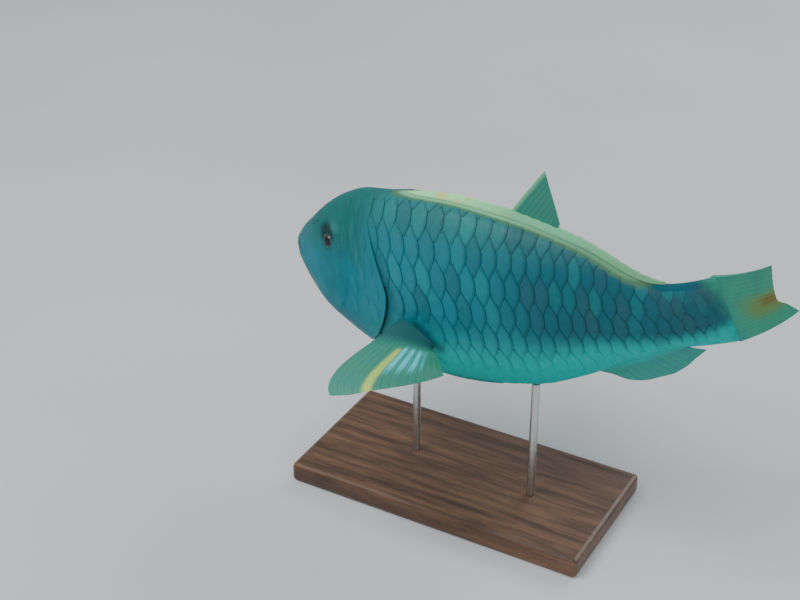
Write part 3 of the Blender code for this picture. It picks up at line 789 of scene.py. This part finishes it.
def skin_vertex(ring, angle, last):
    """The place, station and painted shade of a point of the skin, by its ring from the mouth on.

    The rings lie closer together at the mouth and behind the gill cover.
    """
    mouth = len(MOUTH_RINGS)
    flap = mouth + HEAD_RINGS + 1
    if ring < mouth:
        radius, station, share = MOUTH_RINGS[ring]
        up = BEAK_CENTRE[1] + radius * math.sin(angle)
        rim = from_spine(station + mouth_sweep(angle), radius * math.cos(angle), up)
        return rim.lerp(body_point(mouth_sweep(angle), angle), share), 0, 0
    if ring == last:
        return spine(tail_end(0)), tail_end(0), 0
    if ring < flap:
        start, share = mouth_sweep(angle), (ring - mouth) / HEAD_RINGS
        station = start + (gill_station(angle) - start) * share**1.2
    elif ring == flap:
        station = gill_station(angle) - 0.003
        # The ring tucked under the gill cover's free edge takes painted shade as deep as the edge
        # is free
        hidden = gill_free(angle)
        return body_point(station, angle, -GILL_TUCKED * hidden), station, hidden
    else:
        start, share = gill_station(angle), (ring - flap) / (last - 1 - flap)
        station = start + (tail_end(angle) - start) * share**1.15
    lift = skin_lift(station, angle)
    return body_point(station, angle, lift), station, shade_in_folds(station, angle)


# The scales


# Along the body: the rows' width, the columns' pitch and how far the columns lean
ROW_WIDTH = smooth_curve((0.2, 1), (0.5, 1), (0.7, 0.86), (0.85, 0.66), (1, 0.58))
PITCH = smooth_curve((0.2, 0.95), (0.35, 1), (0.5, 1), (0.75, 0.82), (0.9, 0.68), (1, 0.62))
LEAN = smooth_curve((0.25, 0.33), (0.38, 0.2), (0.5, 0.07), (0.62, 0.05), (0.8, 0.16), (1, 0.28))
# Shares of a scale's half length: its front edge, which is hidden, to its rear edge
SCALE_PLACES = (-1.6, -0.7, 0.1, 0.65, 1.0)
SCALE_STRIPS = 8
SCALE_TALL = 0.715
# Half the size of a scale's patch in the OFBake map, and the bare skin round the breast fin
BAKE_SPOT, BREAST_FIN_BARE = 0.0015, 0.026
# The station of the first scales on the nape, and how far the flank's reach under the gill cover
NAPE_START, UNDER_FLAP = 0.175, 0.012
# More than the skin measures from the side's middle to the back or the belly
FLANK_HALF = 0.35
# The faint scales' columns, in shares of the way to the gill cover's edge, and their size
CHEEK_COLUMNS, CHEEK_ROW, CHEEK_PITCH = (0.69, 0.79, 0.89), 0.046, 0.03

# A scale's cell, with the skin's lift under it and how bold its edges are, from 0 to 1
Scale = collections.namedtuple("Scale", "station row pitch width lean lift bold")


def scale_form():
    """A flat plate of 0 to 1 both ways, its rim turned down and closed below."""
    bm = grid_of(len(SCALE_PLACES) - 1, SCALE_STRIPS)
    rim = [edge for edge in bm.edges if edge.is_boundary]
    made = bmesh.ops.extrude_edge_only(bm, edges=rim)["geom"]
    low = [item for item in made if isinstance(item, bmesh.types.BMVert)]
    bmesh.ops.translate(bm, verts=low, vec=(0, 0, -1))
    bmesh.ops.holes_fill(bm, edges=[edge for edge in bm.edges if edge.is_boundary])
    return mesh_of("scale_form", bm)


def scale_half(high):
    """Half the length of a scale's cell at a share of the way to its tips."""
    return max(0.02, 1 - max(0, (abs(high) - 0.22) / 0.78) ** 1.25)


def scale_place(scale, along, high):
    """A point of a scale: its station, angle, share from front to rear and way to the midline."""
    half = scale_half(high)
    reach = along * half if along > 0 else along * (0.35 + 0.65 * half)
    above = scale.row + high * SCALE_TALL
    station = scale.station - scale.lean * above * scale.width + reach * scale.pitch / 2
    width = scale.width * ROW_WIDTH(station) / ROW_WIDTH(scale.station)
    left = girth_towards(station, above)[-1] - abs(above * width)
    return station, angle_at_girth(station, above * width), reach, left


def add_scale(bm, layers, form, scale, side, draw):
    """One scale: its front lies under the scales ahead, and its rear edge stands up."""
    tilt, puff = draw.uniform(-0.0001, 0.0001) * scale.bold, draw.uniform(0.00005, 0.0002)
    tone, bold = draw.random(), scale.bold * draw.uniform(0.7, 1)
    first = len(bm.verts)
    bm.from_mesh(form)
    bm.verts.ensure_lookup_table()
    for vert in bm.verts[first:]:
        along = SCALE_PLACES[round(vert.co.x * (len(SCALE_PLACES) - 1))]
        high = vert.co.y * 2 - 1
        station, angle, reach, left = scale_place(scale, along, high)
        front = SCALE_FRONT - FAINT_SUNK * (1 - scale.bold)
        rear = SCALE_REAR * min(1, 0.15 + scale.bold) * (1 - 0.5 * ease(-math.sin(angle), 0.3, 0.9))
        rise = tilt * high + front + (rear - front) * (reach + 1) / 2
        rise += puff * (1 - high * high) * max(0, 1 - along * along)
        sunk = 1 - ease(left, 0.006, 0.03)
        rise += scale.lift(station, angle) + SCALE_THICKNESS * vert.co.z - (rise + TIP_SUNK) * sunk
        vert.co = body_point(station, angle, rise)
        if side < 0:
            vert.co = mirrored(vert.co, station)
        mark(vert, layers, station, shade_in_folds(station, angle))
        vert[layers["tone"]], vert[layers["boldness"]] = tone, bold
        vert[layers["rim"]] = (1 - along) * scale_half(high) * 0.5
        vert[layers["growth"]] = math.cos(along * 9 + high * high * 5)
        for loop in vert.link_loops:
            across = 0.5 + side * (0.25 - scale.row * scale.width / 2)
            spot = (scale.station + along * BAKE_SPOT / 1.6, across + high * BAKE_SPOT)
            loop[layers["bake"]].uv = spot


class FISH_OT_scales(bpy.types.Operator):
    """Overlapping scales in rows along each flank, and faint ones on the cheeks"""

    bl_idname = "fish.scales"
    bl_label = "Scales"

    def execute(self, context):
        material, form = scale_material(), scale_form()
        for side, word in SIDES:
            draw = random.Random(7 + side)
            bm = bmesh.new()
            layers = mark_layers(bm, "tone", "boldness", "rim", "growth")
            layers["bake"] = bm.loops.layers.uv.new("OFBake")
            for scale in [*flank_scales(), *cheek_scales()]:
                add_scale(bm, layers, form, scale, side, draw)
            face_outwards(bm)
            finished("scales_" + word, bm, material, (), 35)
        bpy.data.meshes.remove(form)
        return {"FINISHED"}


def coat_start(angle):
    """The station where scales start: under the gill cover's edge, or on the nape."""
    flank = gill_station(angle) - UNDER_FLAP
    return flank + (NAPE_START - flank) * ease(math.sin(angle), 0.5, 0.8)


def flank_scales():
    """The scales of one side, column by column from the nape to the tail fin."""
    station, rows = 0.165, round(FLANK_HALF / sizes().row_width)
    while station < 1.07:
        pitch = sizes().scale_pitch * PITCH(station)
        for row in range(-rows, rows + 1):
            middle = station + row % 2 * pitch / 2
            width = sizes().row_width * ROW_WIDTH(min(1, middle))
            lean = LEAN(middle)
            at = middle - lean * row * width
            if not 0.1 < at < 1.02:
                continue
            if abs(row * width) > girth_towards(at, row)[-1] + width * 0.25:
                continue
            angle = angle_at_girth(at, row * width)
            if from_breast_fin(at, height_at(at, angle)) < BREAST_FIN_BARE:
                continue
            if coat_start(angle) < at < tail_end(angle) - 0.006:
                bold = 0.25 + 0.75 * ease(at, 0.2, 0.36) * (1 - 0.8 * ease(at, 0.9, 0.97))
                yield Scale(middle, row, pitch, width, lean, tail_taper, bold)
        station += pitch


def cheek_scales():
    """Three columns of faint scales on the cheek and the gill cover."""
    lean, bold = 0.1, 0.2
    for column, share in enumerate(CHEEK_COLUMNS):
        for row in range(-1, 3):
            above = row + column % 2 / 2
            middle = gill_station(angle_at_girth(0.25, above * CHEEK_ROW)) * share
            middle += lean * above * CHEEK_ROW
            yield Scale(middle, above, CHEEK_PITCH, CHEEK_ROW, lean, skin_lift, bold)


# The fins


def ray_web(rays, steps, place, half_thickness, ridge, fork=0.5):
    """A closed web with rays that fork towards its edge, as ridges on both faces."""
    between = 6
    columns = (rays - 1) * between
    bm = grid_of(columns, steps)
    ray_of = bm.verts.layers.float.new("ray")
    out_of = bm.verts.layers.float.new("out")
    across_of = bm.verts.layers.float.new("across")
    made = bmesh.ops.extrude_face_region(bm, geom=bm.faces[:], use_keep_orig=True)["geom"]
    under = {item for item in made if isinstance(item, bmesh.types.BMVert)}
    small = 0.004
    for vert in bm.verts:
        across, out = vert.co.x, vert.co.y
        beat = across * (rays - 1)
        # One ridge along the ray, and past the fork one on each side of it
        near = abs(beat - round(beat)) * 2
        forked = abs(near - 0.35)
        single = max(0, 1 - near * 2.6)
        double = max(0, 1 - forked * 5)
        ray = single + (double - single) * ease(out, fork, fork + 0.15)
        middle = place(across, out)
        over = place(min(1, across + small), out) - place(max(0, across - small), out)
        rise = place(across, min(1, out + small)) - place(across, max(0, out - small))
        normal = over.cross(rise).normalized()
        half = half_thickness(across, out) + ridge * ray * (1 - 0.6 * out) * ease(out, 0.0, 0.3)
        vert.co = middle + normal * half * (-1 if vert in under else 1)
        vert[ray_of], vert[out_of], vert[across_of] = ray, out, across
    face_outwards(bm)
    return bm


def tapered(root, tip):
    return lambda across, out: root + (tip - root) * min(1, out * 1.3) ** 0.6


class FISH_OT_fins(bpy.types.Operator):
    """The webs and rays of all the fins"""

    bl_idname = "fish.fins"
    bl_label = "Fins"

    def execute(self, context):
        web, breast = fin_material(), breast_fin_material()
        pieces = [
            ("tail_fin", tail_fin(), tail_fin_material(), "caudal_fin"),
            ("back_fin", back_fin(), back_fin_material(), "dorsal_fin"),
            ("back_fin_panel", raised_panel(), panel_material(), None),
            ("anal_fin_web", lower_fin(), web, "anal_fin"),
        ]
        for side, word in SIDES:
            pieces.append(("breast_fin_" + word, breast_fin(side), breast, "pectoral_fin_" + word))
            pieces.append(("belly_fin_" + word, belly_fin(side), web, "pelvic_fin_" + word))
        for name, bm, material, node in pieces:
            finished(name, bm, material, (node,) if node else ())
        return {"FINISHED"}


def tail_fin():
    # Height of the root, length and droop of each ray from the upper edge to the lower
    rays = along_edge(
        [
            (0.081, 0.158, -0.33), (0.042, 0.145, -0.33), (0, 0.138, -0.3), (-0.04, 0.152, -0.17),
            (-0.077, 0.168, -0.1),
        ]
    )
    tucked = 0.012

    def place(across, out):
        height, length, droop = rays(across)
        low = height * (0.88 + 0.12 * min(1, out * 13))
        root = from_spine(tail_end(angle_at_height(1, height)) - tucked, 0, low)
        ragged = 1 - 0.007 * (0.5 - 0.5 * math.cos(across * 13 * math.tau)) * out
        way = (tailward(1) + upward(1) * droop - leftward(1) * 0.25 * out).normalized()
        return root + way * (length + tucked) * out * STANDARD_LENGTH * ragged

    return ray_web(18, 26, place, tapered(0.0024, 0.00025), 0.00007, 0.35)


def tail_fin_material():
    """Green, with olive between its lobes and an orange-brown patch at the end."""
    tree, ray, out, across, cloudy = ray_tree("tail_fin")
    told = colours()
    zone = across.band(0.25, 0.45, 0.6, 0.85) * (out + cloudy * 0.3).ramp(0.3, 0.75)
    spot = across.band(0.34, 0.44, 0.5, 0.6) * (out + cloudy * 0.2).ramp(0.62, 0.95)
    colour = tree.over(
        told.fin,
        (cloudy.ramp(0.3, 0.8, 0, 0.35), told.back),
        (out.ramp(0.25, 0.05, 0, 0.3), told.flank),
        (zone * 0.85, TAIL_OLIVE),
        (spot * 0.85, told.patch),
        (ray * 0.04, told.edge),
    )
    return web_of(tree, colour, cloudy, (1 - ray) * out.ramp(0.15, 0.6) * 0.05)


def back_fin():
    """The back fin, folded down into a low band with the tips of its spines along it."""
    band_height = smooth_curve((0, 0.004), (0.1, 0.009), (0.4, 0.015), (0.7, 0.013), (1, 0.004))
    first, last, rays, sunk = 0.32, 0.865, 26, 0.001

    def place(across, out):
        root = first + (last - first) * across
        station = root + 0.016 * out * min(1, (1 - across) * 8)
        beat = 0.5 - 0.5 * math.cos(across * (rays - 1) * math.tau)
        tall = band_height(across) * (1 - 0.1 * beat)
        return from_spine(station, 0, BACK(station) - sunk + (tall + sunk) * out)

    def half(across, out):
        ends = min(1, across * 12 + 0.25, (1 - across) * 12 + 0.25)
        return (0.0027 - 0.0016 * out) * ends

    return ray_web(rays, 8, place, half, 0.00018, 2)


def back_fin_material():
    """Pale yellow-green, with warm painted sunlight dapples near its front and olive towards its
    rear.
    """
    tree, ray, out, across, cloudy = ray_tree("back_fin")
    told = colours()
    # Painted sunlight: warm dapples over the front half of the band
    sun_dapple = tree.noise(55, 2).ramp(0.48, 0.6) * across.ramp(0.5, 0.35)
    colour = tree.over(
        told.ridge,
        (out.ramp(0.0, 0.4, 0.4, 1), told.edge),
        (sun_dapple * 0.75, SUN_DAPPLE_ORANGE),
        (ray * 0.15, RAY_CREAM),
        (across.ramp(0.2, 0.5, 0, 0.75), BAND_GREEN),
        (across.ramp(0.55, 0.95, 0, 0.5), told.olive),
    )
    return web_of(tree, colour, cloudy)


def raised_panel():
    """The raised panel of soft rays, from the long leading ray to the short last one."""
    # Station and height over the back of the root and the tip of each ray
    roots = along_edge([(0.558, 0.006), (0.59, 0.006), (0.625, 0.006), (0.655, 0.006)])
    tips = along_edge([(0.641, 0.121), (0.648, 0.09), (0.656, 0.058), (0.664, 0.022)])

    def place(across, out):
        root, tip = roots(across), tips(across)
        station = root[0] + (tip[0] - root[0]) * out
        height = root[1] + (tip[1] - root[1]) * out
        return from_spine(station, 0, BACK(station) + height)

    return ray_web(11, 20, place, tapered(0.0008, 0.0002), 0.00005, 0.4)


def lower_fin():
    # Station of the root, and station and depth below the belly line of the tip, of each ray
    rays = along_edge(
        [
            (0.725, 0.755, 0.018), (0.75, 0.79, 0.043), (0.78, 0.83, 0.055), (0.81, 0.865, 0.057),
            (0.84, 0.892, 0.046), (0.865, 0.915, 0.026), (0.885, 0.935, 0.01),
        ]
    )
    sunk = 0.002

    def place(across, out):
        root, tip, depth = rays(across)
        station = root + (tip - root) * out
        return from_spine(station, 0, -BELLY(station) + sunk - (depth + sunk) * out)

    return ray_web(15, 16, place, tapered(0.001, 0.00025), 0.00005, 0.45)


def breast_fin(side):
    # Length of each ray and its way back, out and up, from the leading ray to the last
    rays = along_edge(
        [
            (0.235, 0.03, 0.98, -0.21), (0.225, 0.12, 0.97, -0.15), (0.2, 0.24, 0.95, -0.1),
            (0.17, 0.35, 0.92, -0.09), (0.135, 0.5, 0.85, -0.09), (0.1, 0.7, 0.7, -0.08),
        ]
    )
    roots = along_edge(PECTORAL_ROOTS)

    def place(across, out):
        length, back, away, up = rays(across)
        station, height = roots(across)
        angle = angle_at_height(station, height)
        root, normal = body_point(station, angle), flank_normal(station, angle)
        spread = min(1, out * 4)
        way = tailward(station) * back + leftward(station) * away + upward(station) * up
        way = (normal * (1 - spread) + way.normalized() * spread).normalized()
        curve = 4 * out * out * max(0, 1 - out) ** 0.6 * max(0, 1 - across * 1.4)
        bow = (upward(station) * 0.05 - tailward(station) * 0.09) * curve
        bow -= upward(station) * 0.03 * out * out
        point = root - normal * 0.0004 + (way * out + bow) * length * STANDARD_LENGTH
        return point if side > 0 else mirrored(point, station)

    def half(across, out):
        flesh = 0.0038 * max(0, 1 - (out * 3.0) ** 1.5) ** 1.2
        return 0.0004 - 0.00015 * out + flesh * (1 - abs(across * 2 - 1) ** 4) ** 0.5

    return ray_web(15, 40, place, half, 0.0001, 0.5)


def breast_fin_material():
    """Green, with a painted yellow glint, a few painted blue-white glints and dark flesh over its
    root.
    """
    tree, ray, out, across, cloudy = ray_tree("breast_fin")
    bent = across + out * 0.12
    # Painted sunlight glints: a yellow streak along the rays and blue-white streaks past it
    yellow = bent.band(0.41, 0.46, 0.49, 0.53) * out.ramp(0.3, 0.42)
    streaks = ((bent - 0.55) * 58.0).maths("COSINE").ramp(-0.5, 0.6) * 0.75 + 0.2
    pale = bent.band(0.49, 0.54, 0.82, 0.9) * out.band(0.26, 0.36, 0.6, 0.85)
    colour = tree.over(
        BREAST_GREEN,
        (cloudy.ramp(0.3, 0.8, 0, 0.4), BREAST_BLUE),
        (yellow * 0.9, GLINT_YELLOW),
        (pale * streaks, GLINT_BLUE),
        (ray * 0.07, colours().edge),
        ((out + across * 0.12).ramp(0.44, 0.2), FLESH_BLUE),
    )
    return web_of(tree, colour, cloudy, (1 - ray) * out.ramp(0.25, 0.6) * 0.2)


def belly_fin(side):
    length = smooth_curve((0, 0.13), (0.33, 0.145), (0.67, 0.13), (1, 0.1))

    def place(across, out):
        station = 0.375 + 0.022 * across + length(across) * out
        angle = -math.pi / 2 + 0.22 + 0.22 * across + 0.04 * out
        point = body_point(station, angle)
        normal = (point - body_point(station, angle, 0, 0.9)).normalized()
        point = point + normal * (0.0007 - 0.0004 * out)
        return point if side > 0 else mirrored(point, station)

    return ray_web(7, 18, place, tapered(0.0006, 0.00025), 0.0002, 0.5)


# Eyes and beak


class FISH_OT_eyes(bpy.types.Operator):
    """The two eyes, each a dark pupil in a pale ring, and the rims of skin round them"""

    bl_idname = "fish.eyes"
    bl_label = "Eyes"

    def execute(self, context):
        material, rims = eye_material(), []
        for side, word in SIDES:
            finished("eyeball_" + word, eyeball(side), material, ("eye_" + word,))
            place, normal = on_side(EYE_STATION, EYE_HEIGHT, side)
            centre = place - normal * ORBIT_SUNK
            rim = turned_ring(ORBIT_RADIUS, ORBIT_THICKNESS, centre, normal)
            # The rim round the eye gets a little painted shade
            rims.append((rim, EYE_STATION, 0.25))
        skin_piece("eye_rims", rims)
        return {"FINISHED"}


def set_along(bm, axis, place):
    """Turns a mesh's Z axis to this direction and moves its middle to the place."""
    turn = axis.to_track_quat("Z", "Y").to_matrix().to_4x4()
    bmesh.ops.transform(bm, matrix=Matrix.Translation(place) @ turn, verts=bm.verts)


def turned_ring(radius, thickness, centre, axis, steps=56):
    """A ring of round section about an axis, its sizes in shares of the standard length."""
    bm = bmesh.new()
    upright = Matrix.Translation((radius * STANDARD_LENGTH, 0, 0))
    upright @= Matrix.Rotation(math.pi / 2, 4, "X")
    bmesh.ops.create_circle(bm, segments=14, radius=thickness * STANDARD_LENGTH, matrix=upright)
    bmesh.ops.spin(
        bm, geom=bm.verts[:] + bm.edges[:], axis=(0, 0, 1), cent=(0, 0, 0), steps=steps,
        angle=math.tau, use_merge=True,
    )
    set_along(bm, axis, centre)
    face_outwards(bm)
    return bm


def skin_piece(name, parts):
    """Joins small meshes, each with its station and painted shade, into one marked piece of skin.
    """
    bm = bmesh.new()
    layers = mark_layers(bm)
    for part, station, painted_shade in parts:
        first, mesh = len(bm.verts), mesh_of("part", part)
        bm.from_mesh(mesh)
        bpy.data.meshes.remove(mesh)
        bm.verts.ensure_lookup_table()
        for vert in bm.verts[first:]:
            along = (vert.co - spine(station)).dot(tailward(station)) / STANDARD_LENGTH
            mark(vert, layers, max(0, station + along), painted_shade)
    finished(name, bm, skin_material())


# The eyeball's radius and its depth in the skin, in shares of the standard length
EYE_RADIUS, EYE_SUNK = 0.025, 0.018
# How far its sight is turned from straight out of the skin to straight sideways, from 0 to 1
SIGHT_TURN = 0.6
# The pupil's radius, its bulge and the dip of the ring round it, in metres
PUPIL_RADIUS, PUPIL_BULGE, RING_DIP = 0.0036, 0.0005, 0.00025


def eyeball(side):
    """A ball whose pupil bulges a little, with radius about its axis kept for its colours."""
    skin, normal = on_side(EYE_STATION, EYE_HEIGHT, side)
    ahead = tailward(EYE_STATION)
    sight = (normal - ahead * normal.dot(ahead) * SIGHT_TURN).normalized()
    radius = EYE_RADIUS * STANDARD_LENGTH
    bm = bmesh.new()
    bmesh.ops.create_uvsphere(bm, u_segments=64, v_segments=48, radius=radius)
    ring_of = bm.verts.layers.float.new("from_axis")
    for vert in bm.verts:
        from_axis = math.hypot(vert.co.x, vert.co.y) if vert.co.z > 0 else radius
        vert[ring_of] = from_axis
        bulge = PUPIL_BULGE * (1 - ease(from_axis, PUPIL_RADIUS * 0.8, PUPIL_RADIUS * 1.15))
        dip = RING_DIP * ease(from_axis, PUPIL_RADIUS, PUPIL_RADIUS * 1.3)
        vert.co *= 1 + (bulge - dip * (1 - ease(from_axis, 0.005, 0.0062))) / radius
    set_along(bm, sight, skin - normal * EYE_SUNK * STANDARD_LENGTH)
    face_outwards(bm)
    return bm


def eye_material():
    """A black pupil in a pale ring, by the distance in millimetres from the eye's axis."""
    tree, pupil = Tree("eye"), PUPIL_RADIUS * 1000
    far, grain = tree.attribute("from_axis") * 1000, tree.noise(700, 3, 0.6)
    ring = far.band(pupil, pupil + 0.15, pupil + 0.3, pupil + 0.9)
    colour = tree.over(
        IRIS_BROWN,
        (grain.ramp(0.35, 0.7), IRIS_BLUE),
        (far.ramp(4.4, 5.4), IRIS_RIM),
        (ring * 0.7, PUPIL_RING),
        (far.ramp(pupil + 0.1, pupil - 0.1), PUPIL_BLACK),
    )
    return tree.set(
        Base_Color=colour, Roughness=0.28, Specular_IOR_Level=0.35, Coat_Weight=0.12,
        Coat_Roughness=0.12,
    )


# Half the gap between the plates of the beak, and between the lips, in metres
PLATE_GAP, LIP_GAP = 0.0002, 0.00025


class FISH_OT_mouth(bpy.types.Operator):
    """The beak's two plates and the lips, parted along the line of the mouth, and the nostrils"""

    bl_idname = "fish.mouth"
    bl_label = "Mouth and nostrils"

    def execute(self, context):
        material, lips, nostrils = beak_material(), [], []
        for upper, word in ((True, "upper"), (False, "lower")):
            plate = parted(beak_form(), upper, PLATE_GAP)
            finished("beak_plate_" + word, plate, material, ("beak_" + word,), 40)
            lips.append((parted(lip_ring(), upper, LIP_GAP), LIP_STATION, 0))
        skin_piece("lips", lips)
        for station, height in NOSTRILS:
            for side, _ in SIDES:
                place, normal = on_side(station, height, side)
                # The nostril's rim gets a little painted shade, and the cap in it full painted
                # shade for the hollow
                nostrils.append((turned_ring(*NOSTRIL_RING, place, normal, 20), station, 0.3))
                nostrils.append((nostril_floor(place, normal), station, 1.0))
        skin_piece("nostrils", nostrils)
        return {"FINISHED"}


def lip_ring():
    """The ring of the lips, bent back towards its corners, where it is also thinner."""
    along, left, up = tailward(LIP_STATION), leftward(LIP_STATION), upward(LIP_STATION)
    middle = from_spine(LIP_STATION, 0, BEAK_CENTRE[1])
    ring = turned_ring(LIP_RADIUS, LIP_THICKNESS, middle, along, 72)
    for vert in ring.verts:
        to = vert.co - middle
        angle = math.atan2(to.dot(up), to.dot(left))
        core = (left * math.cos(angle) + up * math.sin(angle)) * LIP_RADIUS * STANDARD_LENGTH
        thin = 1 - 0.25 * math.cos(angle) ** 2
        back = along * mouth_sweep(angle) * STANDARD_LENGTH
        vert.co = middle + core + (to - core) * thin + back
    return ring


def nostril_floor(place, normal):
    """A low cap just over the skin in a nostril's rim, given full painted shade for the hollow."""
    bm = bmesh.new()
    bmesh.ops.create_uvsphere(bm, u_segments=16, v_segments=8, radius=0.0009)
    bmesh.ops.scale(bm, vec=(1, 1, 0.2), verts=bm.verts)
    set_along(bm, normal, place)
    return bm


def beak_form():
    """The rounded form of the closed beak."""
    bm = bmesh.new()
    bmesh.ops.create_uvsphere(bm, u_segments=48, v_segments=32, radius=1)
    at = BEAK_CENTRE[0]
    axes = Matrix((tailward(at), leftward(at), upward(at))).transposed().to_4x4()
    bmesh.ops.scale(bm, vec=[radius * STANDARD_LENGTH for radius in BEAK_RADII], verts=bm.verts)
    centre = Matrix.Translation(from_spine(at, 0, BEAK_CENTRE[1]))
    bmesh.ops.transform(bm, matrix=centre @ axes, verts=bm.verts)
    return bm


def parted(bm, upper, gap):
    """Keeps what lies above the line of the mouth by at least this gap, or below it."""
    at = BEAK_CENTRE[0]
    kept = Matrix.Rotation(MOUTH_TILT, 3, leftward(at)) @ upward(at) * (1 if upper else -1)
    middle = from_spine(at, 0, BEAK_CENTRE[1])
    cut = bmesh.ops.bisect_plane(
        bm, geom=bm.verts[:] + bm.edges[:] + bm.faces[:], plane_co=middle + kept * gap,
        plane_no=kept, clear_inner=True,
    )
    rim = [item for item in cut["geom_cut"] if isinstance(item, bmesh.types.BMEdge)]
    bmesh.ops.holes_fill(bm, edges=rim)
    face_outwards(bm)
    return bm


def beak_material():
    tree = Tree("beak")
    cloudy = tree.noise(300, 3)
    teeth = tree.node(
        "TexVoronoi", values={"Vector": tree.place(), "Scale": 900.0}, output="Distance"
    )
    colour = tree.over(BEAK_PALE, (cloudy.ramp(0.3, 0.7), BEAK_BLUE))
    normal = tree.bump(teeth, 0.0002, 0.4)
    return tree.set(Base_Color=colour, Roughness=cloudy.ramp(0.3, 0.7, 0.25, 0.4), Normal=normal)


# The stand and the stage


class FISH_OT_stand(bpy.types.Operator):
    """The finish of the stand's wooden base and steel rods"""

    bl_idname = "fish.stand"
    bl_label = "Stand"

    def execute(self, context):
        wood, steel = wood_material(), steel_material()
        for name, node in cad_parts.items():
            if name.startswith("stand_"):
                node.data.materials.clear()
                node.data.materials.append(wood if name == "stand_base" else steel)
        return {"FINISHED"}


def wood_material():
    tree = Tree("walnut")
    grain = tree.noise(60, 6, 0.65, (0.18, 2.2, 1.2))
    pores = tree.noise(900, 2, 0.5, (0.05, 1.5, 1.5))
    colour = tree.over(
        WALNUT_DARK,
        (grain.ramp(0.3, 0.7), WALNUT_PALE),
        (pores.ramp(0.55, 0.75, 0, 0.6), WALNUT_PORE),
    )
    normal = tree.bump(pores, 0.0001, 0.3)
    return tree.set(Base_Color=colour, Roughness=grain.ramp(0.3, 0.7, 0.32, 0.45), Normal=normal)


def steel_material():
    tree = Tree("brushed_steel")
    brushed = tree.noise(400, 3, 0.6, (1, 1, 12))
    normal = tree.bump(brushed, 0.00005, 0.3)
    rough = brushed.ramp(0.3, 0.7, 0.22, 0.38)
    return tree.set(Base_Color=STEEL_GREY, Metallic=1.0, Roughness=rough, Normal=normal)


class FISH_OT_stage(bpy.types.Operator):
    """A pale floor, soft studio light and the camera at the photograph's viewing angle"""

    bl_idname = "fish.stage"
    bl_label = "Stage"

    def execute(self, context):
        bm = bmesh.new()
        bmesh.ops.create_grid(bm, x_segments=1, y_segments=1, size=6)
        mesh = mesh_of("floor", bm)
        mesh.materials.append(floor_material())
        floor = bpy.data.objects.new("floor", mesh)
        context.scene.collection.objects.link(floor)
        floor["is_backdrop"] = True
        place_camera(context.scene)
        place_lights(context.scene)
        return {"FINISHED"}


def floor_material():
    tree = Tree("floor")
    soft = tree.noise(3, 2)
    colour = tree.over(FLOOR_GREY, (soft.ramp(0.3, 0.7), FLOOR_PALE))
    return tree.set(Base_Color=colour, Roughness=0.8)


def place_camera(scene):
    turn, up = CAMERA_AZIMUTH, CAMERA_HEIGHT
    right = Vector((math.cos(turn), math.sin(turn), 0))
    ahead = Vector((-math.sin(turn) * math.cos(up), math.cos(turn) * math.cos(up), -math.sin(up)))
    above = right.cross(ahead)
    aside, over, back = (share * STANDARD_LENGTH for share in CAMERA_OFFSET)
    data = bpy.data.cameras.new("camera")
    data.lens, data.sensor_width, data.clip_end = LENS, SENSOR, 20
    camera = bpy.data.objects.new("camera", data)
    matrix = Matrix((right, above, -ahead)).transposed().to_4x4()
    matrix.translation = spine(MIDDLE_STATION) - right * aside - above * over - ahead * back
    camera.matrix_world = matrix
    scene.collection.objects.link(camera)
    scene.camera = camera


def place_lights(scene):
    """A soft light high over the head, a wide fill on the camera's side and one light behind."""
    aim = Vector((0, 0, MIDDLE_HEIGHT))
    for name, place, size, watts in (
        ("key_light", (-0.7, -0.7, 1.7), 1.2, 22),
        ("fill_light", (1.3, -1.4, 0.7), 1.6, 10),
        ("back_light", (0.3, 1.4, 1.2), 1.0, 10),
    ):
        data = bpy.data.lights.new(name, "AREA")
        data.shape, data.size, data.energy = "DISK", size, watts
        light = bpy.data.objects.new(name, data)
        light.location = place
        light.rotation_euler = (aim - light.location).to_track_quat("-Z", "Y").to_euler()
        scene.collection.objects.link(light)
    world = bpy.data.worlds.new("studio")
    world.use_nodes = True
    room = world.node_tree.nodes["Background"].inputs
    room["Color"].default_value = (*ROOM_BLUE, 1)
    room["Strength"].default_value = 0.55
    scene.world = world


class FISH_PT_panel(bpy.types.Panel):
    """Lists the steps that dress the model"""

    bl_idname = "FISH_PT_panel"
    bl_label = "Parrotfish"
    bl_space_type = "VIEW_3D"
    bl_region_type = "UI"
    bl_category = "Parrotfish"

    def draw(self, context):
        for group in (context.scene.fish_colours, context.scene.fish_sizes):
            for name in group.bl_rna.properties.keys():
                if name not in ("rna_type", "name"):
                    self.layout.prop(group, name)
        for step in STEPS:
            self.layout.operator(step.bl_idname)


STEPS = (
    FISH_OT_skin, FISH_OT_scales, FISH_OT_fins, FISH_OT_eyes, FISH_OT_mouth, FISH_OT_stand,
    FISH_OT_stage,
)
CLASSES = (FishColours, FishSizes, *STEPS, FISH_PT_panel)


def register():
    for cls in CLASSES:
        bpy.utils.register_class(cls)
    bpy.types.Scene.fish_colours = PointerProperty(type=FishColours)
    bpy.types.Scene.fish_sizes = PointerProperty(type=FishSizes)


def unregister():
    del bpy.types.Scene.fish_sizes
    del bpy.types.Scene.fish_colours
    for cls in reversed(CLASSES):
        bpy.utils.unregister_class(cls)


def main():
    register()
    for step in STEPS:
        group, word = step.bl_idname.split(".")
        getattr(getattr(bpy.ops, group), word)()
    boxes = {"cad": CAD_BOX, "visual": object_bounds()}
    {name: [list(corner) for corner in box] for name, box in boxes.items()}


if __name__ == "__main__":
    main()
